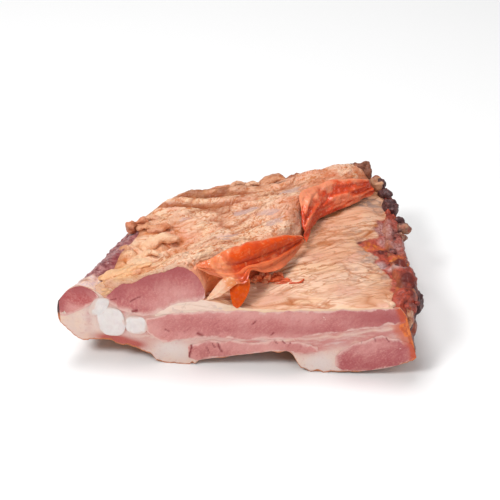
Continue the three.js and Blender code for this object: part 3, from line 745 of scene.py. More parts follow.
columnShare = (np.arange(flap["columns"]) + 0.5) / flap["columns"]
share, depth = np.broadcast_arrays(
    0.5 * endwise(flap["columns"]) + 0.5 * columnShare, depthShares(flap["stations"]))
x = flapX(share, depth)
smooth = inFlap(share, 1.0, depth)
bent = warped(smooth, 3.0, 14.0, 51.0)
streaked = turned(bent, flap["streak"]) * (0.45, 1.0, 1.0)
behindRoll, profile, onRolls = flapRolls(x, depth)
toMargin = ease(share, 0.45, 0.2) * ease(depth, 0.7, 0.6)
# flakes: a noise cut into steps, each a slope that ends in a sharp rise
lobed = ease(x + 12 * grain(smooth, 16, 2, 47), -62, -84) * ease(depth, 0.68, 0.55)
levels = blend(1.7 * grain(streaked, 11, 3, 45), grain(streaked, 17, 2, 45), lobed) * crags["stepsPerUnit"]
riser = levels - np.floor(levels)
flake = crags["step"] * (ease(riser, 0.6, 0.95) - riser) + 0.45 * levels
coarse, rounder = creases(streaked, 17, 5), creases(bent, 13, 35)
patch = ease(ovals(x, depth, *crags["patches"]) + 0.45 * grain(streaked, 7, 3, 52), 0.32, 0.5)
grainy = ease(grain(smooth, 20, 2, 63) + ovals(x, depth, (-76, 0.5, 14, 0.08)), 0.05, 0.35)
relief = crags["broad"] * grain(smooth, 24, 2, 2) - crags["sunken"] * patch
relief = relief + (flake + crags["crease"] * (1 - toMargin) * (coarse**0.5 - 0.7)) * (1 - patch)
relief = relief + crags["margin"] * toMargin * (rounder**0.5 - 0.6)
relief = relief + crags["grains"] * grainy * (np.abs(grain(bent, 2.6, 2, 25)) - 0.3)
calm = ease(share, -0.02, 0.05) * (1 - 0.75 * ease(share, 0.86, 0.97)) * ease(depth, -0.01, 0.05)
top = raised(smooth, relief * calm * (1 - 0.35 * onRolls))
rings = np.concatenate([raised(inFlap(share, 0.0, depth), -0.8), top[:, ::-1]], axis=1)
rings[0, :, 1] = 0
parts = [closedSweep(rings, flap["rungs"])]
for number, (path, wide, tall, rough, _) in enumerate(fatFolds):
    parts.append(strand(guided(path), wide, tall, crags["foldMesh"], rough, 5, 7 * number, 0.3))
parts.append(roughBall(stub["at"], stub["sizes"], stub["mesh"], stub["rough"], 7, 3, 0.65, 1.2))
points, faces = together(parts)
tubeCount = rings[..., 0].size
capCount = (len(parts[0][0]) - tubeCount) // 2
foldSizes = [len(own) for own, _ in parts[1:]]
foldTones = np.array([tones for *_, tones in fatFolds] + [stub["tones"]])
foldCream, foldBrown, foldChar, foldRed, foldGold = foldTones.T


# values for the flap's top, its underside, each of its folds and its stub, and its back
def overTop(values, underside=0.0, folds=0.0, behind=0.0):
    ring = np.concatenate([np.broadcast_to(underside, values.shape), values[:, ::-1]], axis=1)
    ends = np.repeat([0.0, behind], capCount)
    return np.r_[ring.ravel(), ends, np.repeat(np.broadcast_to(folds, len(foldSizes)), foldSizes)]


# peach and cream in clouds, flakes with orange edges and strokes, then the masks
def flapFatFinish():
    f = Finish("flapFatFinish", crags, 0.42, subsurface=0.05, coat=0.15, coatRoughness=0.22)
    turn = flap["streak"]
    cloud = f.noise(20, 3, 0.55, (2, 1, 1), turn)
    patch = f.noise(11, 5, 0.65, (2.4, 1, 1), turn, 0.4)
    fine = f.noise(3, 4, 0.6, (1.8, 1, 1), turn)
    flake = f.math("FRACT", f.times(f.noise(17, 4, 0.5, (2.2, 1, 1), turn, 0.5), 6))
    hue = f.noise(26, 2, 0.5)
    stroke = f.span(f.noise(2.6, 3, 0.6, (2.6, 1, 1), turn), 0.54, 0.64)
    stroke = f.times(stroke, f.span(patch, 0.36, 0.56, 0.95, 0.15))
    edge = f.times(f.span(flake, 0.16, 0, 0.95), f.span(patch, 0.38, 0.54))
    grit = f.times(f.span(f.noise(1.5, 3, 0.7), 0.53, 0.66), "grainy")
    colour = f.layers(
        "peach", ("cream", cloud, 0.38, 0.62), ("rosy", hue, 0.52, 0.64, 0.7),
        # cream where the flakes and the fine relief stand high: the fat's cream, partly painted highlight
        ("yellow", hue, 0.46, 0.36, 0.7), ("cream", flake, 0.45, 1, 0.45), ("cream", fine, 0.54, 0.72, 0.3),
        # orange where the fine relief lies low and at the flakes' feet: the fat's orange, partly painted
        # shade
        ("orange", fine, 0.46, 0.28, 0.35), ("orange", f.times(stroke, "streaky")), ("orange", edge),
        ("cream", "cream"), ("gold", "golden"), ("red", f.times(grit, 0.8)), ("orange", "foot"),
        ("lilac", f.times("lilac", f.span(fine, 0.35, 0.6, 0.6, 0.95))),
        # painted shade in the hollows, over the fat's orange-brown
        (f.layers("orange", ("brown", "streaky")), "hollow"),
        # browned tan, which in the creases between the rolls is painted shade
        (f.layers("tan", ("brown", patch, 0.4, 0.62)), "brownedAndShade"), ("red", "reddened"),
        (f.layers("lining", ("liningDark", "inward")), "lining"),
        (f.layers("char", ("brown", patch, 0.5, 0.66)), "char"))
    height = f.plus(f.times(flake, 0.7), f.plus(fine, f.times(f.noise(1.2, 3), 0.5)))
    return f.finish(colour, height, 0.0014, 0.9)


spots = grain(smooth, 9, 3, 31)
# orange at the foot of each step of the flakes: partly painted shade
foot = bell(riser, 0.62, 0.12) * calm * (1 - patch) * blend(0.3, 1.0, ease(spots, -0.4, 0.2))
# hollow: creases, the creases behind the rolls and a line by a fold's end; orange-brown deepened as painted
# shade
hollow = 0.85 * (1 - toMargin) * (1 - patch) * (1 - coarse) ** 3 + 0.6 * toMargin * (1 - rounder) ** 3
beyond = np.mod(behindRoll / flap["pitch"], 1.0)  # 0 on a crest, 0.5 in the crease behind it
hollow = largest(
    hollow * calm * (1 - 0.5 * ease(share, 0.75, 0.9)),
    onRolls * ease(beyond, 0.3, 0.5) * ease(beyond, 0.8, 0.62),
    0.9 * bell(x + 72 + 60 * (depth - 0.46), 0, 3) * bell(depth, 0.46, 0.05))
upperRoll = onRolls * ease(behindRoll, 0.045, 0.06) * ease(behindRoll, 0.15, 0.12) * bell(x, -74, 34)
# browned at random on the rolls, and in the creases between them as painted shade; the upper roll browned in
# spots
brownedAndShade = onRolls * (0.15 * ease(spots, -0.3, 0.5) + 0.4 * ease(profile, 0.8, 0.4))
brownedAndShade = np.clip(brownedAndShade + 0.95 * upperRoll * ease(spots, -0.9, -0.1), 0, 1)
brownedAndShade = largest(
    brownedAndShade, ease(depth, 0.965, 0.99), 0.8 * bell(share, 0, 0.03) * ease(spots, -0.4, 0.4),
    0.8 * ovals(x, depth, (-92, 0.535, 8, 0.025), (-116, 0.62, 14, 0.05)) * ease(spots, -0.5, 0.1))
reddened = blend(0.25, 0.75, ease(depth, 0.06, 0.2)) * (1 - 0.8 * bell(depth, 0.46, 0.1))
reddened = largest(
    reddened * ease(share, 0.84, 0.95) * ease(spots, -0.7, 0.0),
    0.55 * ease(share, 0.6, 0.9) * ease(depth, 0.02, 0.08) * ease(depth, 0.4, 0.25) * ease(spots, -0.4, 0.3),
    0.6 * ease(share, 0.66, 0.85) * ease(depth, 0.55, 0.7) * ease(spots, -0.3, 0.3))
golden = 0.75 * ease(share, 0.7, 0.25) * ease(depth, 0.35, 0.1) * ease(spots, -0.8, 0.2)
# the oval at x -9 is the black slit under the back lump, painted shade; the upper roll's dark spots are
# charred
charred = largest(0.9 * ovals(x, depth, (-9, 0.905, 7, 0.008)), 0.5 * upperRoll * ease(spots, -0.5, 0.4))
lining = ease(share, 0.86, 0.9) * ease(depth, 0.24, 0.16)
inward = ease(depth, 0.015, 0.075)  # how much darker the lining gets further back from the cut
lined = overTop(lining, lining)
cap = slice(tubeCount, tubeCount + capCount)
lined[cap] = ease(points[cap, 0], -36, -31)  # the flap's own cut beside its meat
makePiece("flap_fat", "browned_fat", flapFatFinish(), points, faces, {
    "hollow": overTop(np.clip(hollow, 0, 1)), "foot": overTop(foot), "lilac": overTop(patch),
    "golden": overTop(golden, 0.0, foldGold), "grainy": overTop(grainy), "streaky": overTop(1 - lobed),
    "brownedAndShade": overTop(brownedAndShade, np.maximum(0.4, ease(depth, 0.94, 0.97)), foldBrown, 1.0),
    "reddened": overTop(reddened, 0.3, foldRed), "cream": overTop(0 * share, 0.0, foldCream),
    "char": overTop(charred, 0.0, foldChar), "lining": lined, "inward": overTop(inward, inward)})

# pale wrinkled fat over the slab's top
wrinkled = {
    "from": -62.0, "columns": 205, "stations": 225, "rungs": 4, "edgeShare": 0.14,
    "to": smoothLine([(0, 101), (0.05, 98.5), (0.1, 95), (0.62, 95), (0.72, 99.5), (0.85, 102), (1, 102)]),
    "base": smoothLine([(-62, 37.5), (-51, 39.8), (-26, 43.4), (31, 46.4), (93, 51.7)]),
    "drawnOut": 0.14, "pitch": 7.5, "height": 1.9, "finePitch": 3.6, "fineHeight": 0.8, "netPitch": 5.0,
    "netHeight": 1.2,
    "turnBehind": 25.0, "turnAtCut": 3.0, "turns": (6.0, 30.0),  # how the wrinkles run, where they turn
    "cream": (0.69, 0.36, 0.222), "light": (0.79, 0.51, 0.36), "yellow": (0.76, 0.46, 0.27),
    "rosy": (0.65, 0.335, 0.25), "groove": (0.46, 0.15, 0.05), "grey": (0.36, 0.23, 0.19),
    "cutFace": (0.88, 0.66, 0.55), "cutFront": (0.86, 0.6, 0.41),
}
# the browned crust of the right edge, and where it begins by depth share
crust = {
    "red": (0.43, 0.07, 0.04), "dark": (0.13, 0.022, 0.018), "amber": (0.58, 0.15, 0.025),
    "pale": (0.52, 0.33, 0.31), "mauve": (0.4, 0.16, 0.14), "tan": (0.66, 0.36, 0.21),
    "char": (0.075, 0.03, 0.032), "ash": (0.17, 0.07, 0.065), "brown": (0.3, 0.085, 0.04),
}
crustInner = smoothLine([
    (0, 103), (0.04, 99.5), (0.09, 93), (0.21, 90.5), (0.268, 88.7), (0.323, 84.5), (0.374, 85), (0.4, 80),
    (0.45, 75), (0.496, 69), (0.515, 78), (0.557, 87), (0.612, 86), (0.66, 91), (0.705, 99), (0.83, 104),
    (1, 105)])
# marks on the crust: (x at the cut, depth share, half width, half depth)
crustMarks = {
    "amber": [(84, 0.456, 11, 0.02), (100, 0.37, 7, 0.04), (78, 0.49, 8, 0.014), (96, 0.16, 3, 0.05),
              (105, 0.12, 3, 0.012)],
    # dark marks: partly painted shadow under the lumps, partly dark burnt spots
    "dark": [(88, 0.418, 7, 0.013), (95, 0.325, 8, 0.02), (70, 0.5, 5, 0.014), (93, 0.43, 6, 0.03),
             (99, 0.165, 5, 0.035), (102, 0.21, 6, 0.05), (105, 0.155, 4, 0.035), (104, 0.1, 3, 0.014)],
    "paled": [(97, 0.285, 6, 0.022), (86, 0.32, 5, 0.025)],
    "mauve": [(95, 0.6, 13, 0.07), (97, 0.53, 9, 0.04), (101, 0.46, 6, 0.05)],
}
# a thin roll of fat that ends in a pale knob at the right of the cut: guide points (x, depth share, height
# over the slab), half width and half height; then the knob's half sizes
fatRoll = {
    "path": [(78, 0.066, -0.9), (87, 0.05, -0.3), (95, 0.032, 0.0), (100, 0.014, 0.1)], "wide": 1.6,
    "tall": 1.3, "mesh": (36, 20), "knob": (2.1, 1.9, 2.1), "knobMesh": (20, 28), "paleness": 0.5,
}

columnShare = (np.arange(wrinkled["columns"]) + 0.5) / wrinkled["columns"]
depth = depthShares(wrinkled["stations"], 0.985, 1.1)
begin, turnAt, end = wrinkled["from"], wrinkled["edgeShare"], wrinkled["to"](depth)
edgeX = np.clip(flap["right"](depth) - 8, begin + 20, end - 6)
x = np.where(columnShare < turnAt, blend(begin, edgeX, columnShare / turnAt),
             blend(edgeX, end, (columnShare - turnAt) / (1 - turnAt)))
depth = np.broadcast_to(depth, x.shape)
flat = xyz(*plan(x, depth), 0)


# the plan turned so that x runs along the wrinkles, drawn together along them and warped
def drawnAlong(turn, amount):
    return turned(warped(flat, amount, 24.0, 4.0), turn) * (wrinkled["drawnOut"], 1, 0)


# large and fine wrinkles along one direction: 0 in a wrinkle and 1 between
def wrinkles(turn, amount):
    drawn = drawnAlong(turn, amount)
    fine = creases(drawn * (1.6, 1, 1), wrinkled["finePitch"], 12)
    return np.array([creases(drawn, wrinkled["pitch"], 8), fine])


behind = ease(flat[..., 1] + 8 * grain(flat, 20, 2, 6), *wrinkled["turns"])
fold, fineFold = blend(wrinkles(wrinkled["turnAtCut"], 7.0), wrinkles(wrinkled["turnBehind"], 6.0), behind)
net = creases(drawnAlong(-18, 3) * (3.5, 1, 1), wrinkled["netPitch"], 40)
netted = ovals(x, depth, (74, 0.26, 20, 0.12))
vigour = 0.25 + 0.75 * ease(grain(flat, 24, 2, 16), -0.4, 0.3)
vigour = vigour * (1 - 0.6 * ease(depth, 0.6, 0.8) * ease(x, 50, 80))
relief = vigour * (wrinkled["height"] * (fold**0.6 - 0.7) + wrinkled["fineHeight"] * (fineFold**0.7 - 0.6))
relief = relief + wrinkled["netHeight"] * netted * (net**0.7 - 0.6) + 1.1 * grain(flat, 26, 2, 20)
toCrust = x - crustInner(depth)
inCrust = ease(toCrust + 4 * grain(flat, 7, 3, 24), -2, 2)
pebbled = 1.8 * grain(flat, 10, 2, 28) + 0.5 * grain(flat, 2.6, 2, 29) - 0.4
hole = bell(depth, 0.485, 0.045) * ease(x, 64, 76) * (1 - 0.5 * ease(x, 88, 94))
relief = relief * ease(depth, -0.02, 0.03) + inCrust * pebbled - 2.2 * hole
upper = raised(inSlab(x, topAtCut(x), depth), np.maximum(relief, -3.2))
lower = inSlab(x, wrinkled["base"](x), depth)
lower[..., 2] = np.minimum(lower[..., 2], upper[..., 2] - 0.8)
rings = np.concatenate([lower, upper[:, ::-1]], axis=1)
rings[0, :, 1] = -0.15
rollX, rollDepth, rollZ = np.array(fatRoll["path"]).T
guide = raised(inSlab(rollX, topAtCut(rollX), rollDepth), rollZ)
sheet = closedSweep(rings, wrinkled["rungs"])
points, faces = together([
    sheet, strand(guide, fatRoll["wide"], fatRoll["tall"], fatRoll["mesh"], 0.4, 4, 2),
    roughBall(guide[-1], fatRoll["knob"], fatRoll["knobMesh"], 0.8, 4, 2)])
capCount, rollCount = len(sheet[0]) - rings[..., 0].size, len(points) - len(sheet[0])


# red-brown, darker between its pebbles, with the marks over it
def crustLook(f, pebble):
    mauve = f.layers("mauve", ("pale", pebble, 0.45, 0.68, 0.55))
    amber = f.layers("amber", ("red", f.noise(4, 5, 0.65), 0.4, 0.62))
    return f.layers(
        "red", ("dark", f.noise(8, 5, 0.6), 0.5, 0.7, 0.8), (mauve, "mauve"),
        # ending with the dark marks, partly painted shadow under the lumps
        ("dark", pebble, 0.5, 0.34, 0.6), ("pale", "paled"), (amber, "amber"), ("dark", "dark"))


# cream in clouds with yellow and rosy patches, fine and thread-like grooves in painted shade, grey spots,
# crust and cut
def topFatFinish():
    f = Finish("topFatFinish", {**crust, **wrinkled}, 0.48, subsurface=0.08, coat=0.08, coatRoughness=0.3)
    turn, turnAtCut = wrinkled["turnBehind"], wrinkled["turnAtCut"]
    cloud = f.noise(30, 3, 0.55, (1.6, 1, 1), turn)
    patch = f.noise(16, 3, 0.6, (1.8, 1, 1), turn)
    fine = f.noise(2.4, 3, 0.55, (6, 1, 1), turn, 0.3)
    thread = f.lines(0.035, f.noise(6, 3, 0.5, (5, 1, 1), turn, 0.5))
    threadAtCut = f.lines(0.035, f.noise(9, 3, 0.5, (7, 1, 1), turnAtCut, 0.6))
    lines = f.layers(threadAtCut, (thread, "behind"))
    mottle = f.noise(5, 5, 0.65, (1.4, 1, 1))
    pebble = f.noise(1.7, 3, 0.6)
    colour = f.layers(
        "cream", ("light", cloud, 0.38, 0.62), ("yellow", patch, 0.52, 0.66, 0.7),
        # painted shade: the groove tone where the fine relief lies low; painted highlight: the light tone
        # where it stands high
        ("rosy", patch, 0.46, 0.32, 0.6), ("groove", fine, 0.46, 0.28, 0.5),
        ("light", fine, 0.54, 0.74, 0.45),
        # painted shade on the thread lines and in the groove mask, over the wrinkles' own orange-brown
        ("groove", f.times(lines, f.span(patch, 0.4, 0.58, 0.75, 0.25))), ("groove", "groove"),
        ("grey", f.times("grey", f.span(mottle, 0.43, 0.59, 0.92, 0.15))), (crustLook(f, pebble), "crust"),
        (f.layers("cutFace", ("cutFront", "cutFront")), f.times("cutFace", f.span(fine, 0.3, 0.6, 1, 0.8))))
    height = f.math("SUBTRACT", fine, f.times(lines, 0.8))
    return f.finish(colour, f.plus(height, f.times("crust", pebble)), 0.0006, 0.7)


# mask values for the upper side of the sheet, one for its ends and one for its roll
def overWrinkles(values, ends=0.0, roll=0.0):
    ring = np.concatenate([0 * values, values[:, ::-1]], axis=1)
    return np.r_[ring.ravel(), np.full(capCount, ends), np.full(rollCount, roll)]


# each kind of mark: the strongest of its ovals, broken up by a noise
def marksOnCrust(x, depth, points):
    broken = 1.6 + 1.2 * grain(points * (1, 1, 0), 5, 3, 55)
    strongest = {kind: ovals(x, depth, *spots) for kind, spots in crustMarks.items()}
    return {kind: np.clip(values * broken - 0.2, 0, 1) for kind, values in strongest.items()}


# the groove mask: the creases of the wrinkles and of the net, in painted shade over their orange-brown
groove = 1.25 * vigour * ((1 - fold) ** 3 + 0.6 * (1 - fineFold) ** 3) + 1.2 * netted * (1 - net) ** 2
groove = groove + 0.35 * bell(toCrust, -4, 6) * ease(grain(flat, 8, 3, 36), -0.3, 0.4)
# a painted shadow in a band just right of the flap's edge
groove = groove + 0.3 * bell(x, flap["right"](depth) + 2, 7) * ease(depth, 0.05, 0.2)
grey = ease(x, 45, 86) * ease(depth, 0.1, 0.25) * ease(grain(flat, 15, 2, 33), -0.4, 0.4)
grey = largest(grey, netted * (1 - net) ** 2, ovals(x, depth, (86, 0.265, 5, 0.03)))
cutFace = overWrinkles(0 * x, 1.0, fatRoll["paleness"])
cutFace[:rings.shape[1]] = 1.0
masks = {"groove": np.clip(groove, 0, 1), "grey": grey, "crust": inCrust, "behind": behind,
         **marksOnCrust(x, depth, flat)}
makePiece("top_fat", "wrinkled_fat", topFatFinish(), points, faces, {
    "cutFront": ease(points[:, 0], -30, -5), "cutFace": cutFace,
    **{mask: overWrinkles(values) for mask, values in masks.items()}})

# the body of fat and gristle, with its browned outside and its charred right edge
body = {
    "columns": 200, "sidePoints": 14, "stations": 110, "rungs": 50, "bulge": (1.2, 0.3), "sunk": 2.6,
    "fat": (0.75, 0.55, 0.48), "white": (0.76, 0.66, 0.62), "cream": (0.8, 0.57, 0.45),
    "pink": (0.59, 0.225, 0.205), "rind": (0.56, 0.23, 0.095), "rindDark": (0.27, 0.08, 0.038),
    "rindPale": (0.74, 0.44, 0.27), "rim": (0.55, 0.17, 0.06), "shadowAndDark": (0.26, 0.03, 0.035),
    "purple": (0.43, 0.185, 0.18), "purpleDark": (0.19, 0.05, 0.055), "lilac": (0.64, 0.46, 0.46),
    "fire": (0.8, 0.2, 0.04), "glow": (0.6, 0.12, 0.06), "fireDark": (0.58, 0.1, 0.03),
    "redFat": (0.48, 0.1, 0.08),
}
# stubs and lumps of the right edge: (x at the cut, depth share, z), half sizes,
# and how far each is charred, amber and tan
charLumps = [
    ((100.5, 0.966, 49), (5, 4.5, 5), (0.9, 0, 0)), ((94.5, 0.966, 50), (4.5, 4, 4), (0.1, 0.2, 0.8)),
    ((102, 0.885, 48), (4.6, 3.6, 3.2), (0.95, 0, 0)), ((104.5, 0.79, 47), (5.6, 6, 5), (0.95, 0, 0)),
    ((109, 0.675, 46.5), (5.4, 3.8, 4.2), (0.95, 0.1, 0.1)),
    ((112.5, 0.63, 46), (4.2, 2.6, 2.8), (0.62, 0.1, 0.8)),
    ((108.5, 0.6, 44.5), (4.2, 3.2, 3.6), (0.6, 0.2, 0.7)),
    ((101, 0.365, 46.5), (5.6, 6.5, 4.5), (0.1, 1, 0)), ((106, 0.29, 44.5), (5.2, 5.5, 5.5), (0.35, 0, 0)),
    ((100, 0.215, 47), (6.5, 6.5, 4.5), (0.9, 0.4, 0.1)), ((106, 0.14, 42.5), (5, 6, 7), (0.85, 0, 0)),
    ((105.5, 0.085, 35.5), (3.6, 6, 8), (0.85, 0.1, 0)), ((105.5, 0.05, 43), (4, 5, 7), (0.2, 0.2, 1)),
]
# small burnt crumbs between them
crumbs = {"count": 70, "seed": 8, "from": 97.0, "size": (0.7, 2.2), "mesh": (10, 14), "lumpMesh": (30, 44)}
# tints on the cut: (x, z, width, height, strength)
tints = {
    "pink": [(-5, 22, 50, 5.5, 1.0), (36, 21, 12, 6, 1.0), (60, 29, 24, 7, 0.9), (72, 34, 22, 6, 0.8),
             (90, 38, 14, 5, 0.7), (-66, 28, 7, 11, 0.95), (-82, 29, 1.6, 8, 1.0), (-105, 32, 2, 9, 0.5),
             (-98, 33, 3, 5, 0.3), (-76, 40, 14, 3.0, 1.0), (-88, 46, 6, 3.0, 0.9)],
    "red": [(-94, 18.4, 9, 3.4, 1.0), (-84, 16, 9, 4.0, 1.0), (-74, 13.4, 7, 3.6, 0.9),
            (34, 17.5, 5, 3.5, 0.9)],
    "white": [(-92, 36, 16, 12, 0.8), (44, 8, 12, 10, 0.9), (-12, 21.9, 3, 1.6, 0.9), (-52, 12, 14, 9, 0.9),
              (7, 21.8, 10, 1.3, 0.9), (54, 24.5, 7, 2.4, 0.8)],
}
seam = smoothLine([(-45, 21), (-12, 22), (31, 25.6), (57, 30.6), (94, 39.8)])  # a white line in the lean

sideShare = 0.5 - (np.arange(body["sidePoints"]) + 0.5) / (2 * body["sidePoints"])


# half an outline: the left end at some shares of its height, a line along the cut, and the right end
def halfOutline(line, share):
    ends = [blend(undersideAtCut(cut[side]), topAtCut(cut[side]), share) for side in ("left", "right")]
    return np.r_[ends[0], line, ends[1][::-1]]


lineX = blend(cut["left"], cut["right"], endwise(body["columns"]))
bulge = np.sin(pi * sideShare)
halfX = np.r_[cut["left"] - body["bulge"][0] * bulge, lineX, cut["right"] + body["bulge"][1] * bulge[::-1]]
lowZ, highZ = halfOutline(undersideAtCut(lineX), sideShare), halfOutline(topAtCut(lineX), 1 - sideShare)
ringX, ringZ = np.r_[halfX, halfX[::-1]], np.r_[lowZ, highZ[::-1]]
upward = np.repeat([0.0, 1.0], len(halfX))
depth = depthShares(body["stations"], 1.0, 1.25)
rings = inSlab(ringX, ringZ, depth)
around = np.roll(rings, -1, axis=1) - np.roll(rings, 1, axis=1)
normals = unit(np.cross(np.gradient(rings, axis=0), around))
toRight = ease(ringX, 86, 100) * ease(ringZ, 6, 24)
toLeft = ease(ringX, -92, -108)
onLeft = toLeft * ease(ringZ, 44, 32)
crag, fineCrag = creases(rings, 14, 8), creases(rings, 5.5, 18)
lumpy = 4.2 * (crag**0.6 - 0.45) + 1.3 * (fineCrag**0.7 - 0.5) + 1.2 * grain(rings, 7, 3, 6)
swell = 0.5 * grain(rings, 9, 3) + (toRight + 0.6 * onLeft) * lumpy * ease(depth, 0, 0.1)
swell = swell + toLeft * (0.9 * grain(rings, 5, 3, 13) + 0.5 * grain(rings, 2, 2, 2))
swell = swell - 4.0 * (1 - np.sqrt(1 - np.clip((depth - 0.96) / 0.04, 0, 1) ** 2))
covered = upward * ease(ringX, -97, -92) * ease(wrinkled["to"](depth) - ringX, 0, 3)
sunk = blend(1.4 * ease(ringX, -58, -50), body["sunk"], ease(depth, 0, 0.06))
sunk = covered * (sunk + 2.4 * bell(depth, 0.485, 0.08) * ease(ringX, 56, 70))
sunk = sunk * (1 - 0.8 * ease(depth, 0.93, 0.975))
rings = rings + normals * (swell * ease(depth, 0.0, 0.03) * (1 - covered) - sunk)[..., None]
ragged = 1.3 * grain(rings[0], 4, 3, 40) + 2.4 * bell(ringX, -42, 9) * grain(rings[0], 2.4, 2, 43)
rings[0, :, 2] += ragged * (1 - upward)
rings[..., 2] = np.maximum(rings[..., 2], 0)
rings[0, :, 1] = 0
bodyPoints, bodyFaces = closedSweep(rings, body["rungs"])
tubeCount, capSize = rings[..., 0].size, len(halfX) - 2
cutEnd = tubeCount + (body["rungs"] - 1) * capSize

# distance of the cut's points to the underside and the left end, where the browning starts
face = bodyPoints[tubeCount:cutEnd]
toUnderside = np.minimum(capReach(rings[0], body["rungs"])[0], face[:, 0] - cut["left"] + 0.5)
face[:, 1] -= 0.25 * grain(face, 6, 3) * np.minimum(toUnderside, 1)

# the back bulges a little and is as craggy as the other browned sides
back = bodyPoints[cutEnd:]
toEnd = 2 * np.minimum(np.arange(capSize), np.arange(capSize)[::-1])
toBorder = np.minimum(capReach(rings[-1], body["rungs"])[:2].min(axis=0), np.tile(toEnd, body["rungs"] - 1))
backCrag, backFine = creases(back, 16, 9), creases(back, 6, 19)
craggy = 3.8 * (backCrag**0.6 - 0.5) + 1.4 * (backFine**0.7 - 0.5) + 0.8 * grain(back, 4, 3, 5)
back[:, 1] += ease(toBorder, 0, 12) * (4.0 + craggy)

# lumps keep their share of the slab's height; crumbs are strewn over the edge and a little down its side
lumpParts = []
for number, ((atX, atDepth, atZ), sizes, _) in enumerate(charLumps):
    low, high = slabUnderside(atX, atDepth), slabTop(atX, atDepth)
    atCut = blend(undersideAtCut(atX), topAtCut(atX), (atZ - low) / (high - low))
    middle = inSlab(atX, atCut, atDepth)
    lumpParts.append(roughBall(middle, sizes, crumbs["lumpMesh"], 2.2, 8, 3.3 * number, 0.75, 1.3))
draw = np.random.default_rng(crumbs["seed"])
for number in range(crumbs["count"]):
    atDepth = draw.uniform(0.02, 0.98)
    atX = draw.uniform(min(max(crumbs["from"], crustInner(max(atDepth, 0.1)) + 4), 104), 106)
    half = draw.uniform(*crumbs["size"]) * draw.uniform(0.6, 1.6, 3) * (1.2, 1.2, 0.7)
    down = draw.uniform(0, 1) ** 2 * 14 * ease(atX, 98, 105) + 0.4 * half[2]
    middle = (*plan(atX, atDepth), slabTop(atX, atDepth) - down)
    lumpParts.append(roughBall(middle, half, crumbs["mesh"], 0.8, 3, 1.7 * number, 0.75))
points, faces = together([(bodyPoints, bodyFaces)] + lumpParts)
lumpSizes = [len(own) for own, _ in lumpParts]
crumbChar = draw.uniform(0.2, 1.0, crumbs["count"])
crumbAmber = draw.uniform(-0.5, 0.6, crumbs["count"]).clip(0)
lumpTones = np.vstack([[tones for *_, tones in charLumps], xyz(crumbChar, crumbAmber, 0)])
lumpChar, lumpAmber, lumpTan = lumpTones.T


# values for the sides, the cut, each lump and the back
def bodyMask(sides=0.0, onCut=0.0, lumps=0.0, onBack=0.0):
    values = np.zeros(len(bodyPoints))
    values[:tubeCount] = np.broadcast_to(sides, rings.shape[:2]).ravel()
    values[tubeCount:cutEnd], values[cutEnd:] = onCut, onBack
    values[:rings.shape[1]] = onCut if np.isscalar(onCut) else 0
    return np.r_[values, np.repeat(np.broadcast_to(lumps, len(lumpSizes)), lumpSizes)]


# fat on the cut; outside it a mottled rind, purple and lilac on the left and the burnt crust on the right
def bodyFinish():
    f = Finish("bodyFinish", {**crust, **body}, 0.42, gloss=0.25, subsurface=0.1, coat=0.06,
               coatRoughness=0.3)
    cloud, fine = f.noise(9, 4), f.noise(2.2, 4)
    streaks = f.span(f.noise(3.4, 4, 0.6, (3.5, 1, 1), tilt=12), 0.34, 0.56, 1, 0.5)
    ragged = f.plus("toUnderside", f.times(f.math("SUBTRACT", f.noise(3), 0.5), 1.6))
    fire = f.layers("fire", ("fireDark", f.noise(3, 4, 0.6, (1, 1, 2)), 0.44, 0.58))
    fat = f.layers(
        "fat", ("cream", cloud, 0.36, 0.66), ("white", "white"), ("pink", f.times("pink", streaks)),
        ("redFat", "red"), ("pink", fine, 0.56, 0.72, 0.3), ("rim", ragged, 1.3, 0.25), ("glow", "glow"),
        (fire, "fire"), ("char", "leftChar"))
    rind = f.layers(
        "rind", ("rindDark", f.noise(24, 6, 0.7), 0.34, 0.66),
        ("rindPale", f.noise(7, 6, 0.7, (1.8, 1.8, 1)), 0.52, 0.7, 0.6),
        ("rindDark", f.noise(3, 4, 0.65), 0.5, 0.32, 0.6))
    # purple with dark clouds and lilac flecks as painted highlights, then a painted shadow beside the flap
    # and dark patches at the left end
    purple = f.layers(
        "purple", ("purpleDark", f.noise(4.5, 5, 0.65), 0.42, 0.6),
        ("lilac", f.noise(2, 4, 0.6), 0.55, 0.7, 0.5), ("shadowAndDark", "shadowAndDark"))
    burnt = f.layers("char", ("ash", f.noise(2.6, 4, 0.65), 0.44, 0.66))
    edge = f.layers(
        crustLook(f, f.noise(1.7, 3, 0.6)), ("tan", f.times("tan", f.span(f.noise(5, 4), 0.35, 0.55))),
        ("brown", f.times("lowEdge", f.span(f.noise(20, 6, 0.7), 0.4, 0.62, 0.9, 0.15))),
        ("tan", f.times("lowEdge", f.span(f.noise(6, 5, 0.65), 0.56, 0.68, 0.7))),
        (burnt, f.plus("char", f.noise(4.5, 4, 0.6)), 0.8, 1.35))
    colour = f.layers(
        rind, (purple, "purple"), (f.layers("lilac", ("cream", fine, 0.4, 0.6)), "greyed"), (edge, "crust"),
        ("dark", f.times("crevice", 0.85)), (fat, "onCut"))
    return f.finish(colour, f.plus(fine, f.noise(1.1, 3)), 0.0005, 0.5)


# how deep in a crease, from the large and the fine crags
def creviced(large, fine):
    return (1 - large) ** 3 + 0.6 * (1 - fine) ** 3


atLeft = ease(ringX, -121, -124)
lower = ringZ + 12 * grain(rings, 15, 4, 70)
strip = np.clip(upward * ease(ringX, -92, -99) + ease(ringX, -120, -124.6) * ease(lower, 24, 42), 0, 1)
fades = depth + 0.16 * grain(rings, 16, 4, 72) * atLeft
purple = strip * ease(fades, blend(0.68, 0.84, atLeft), 0.6) * ease(depth, 0.03, 0.12)
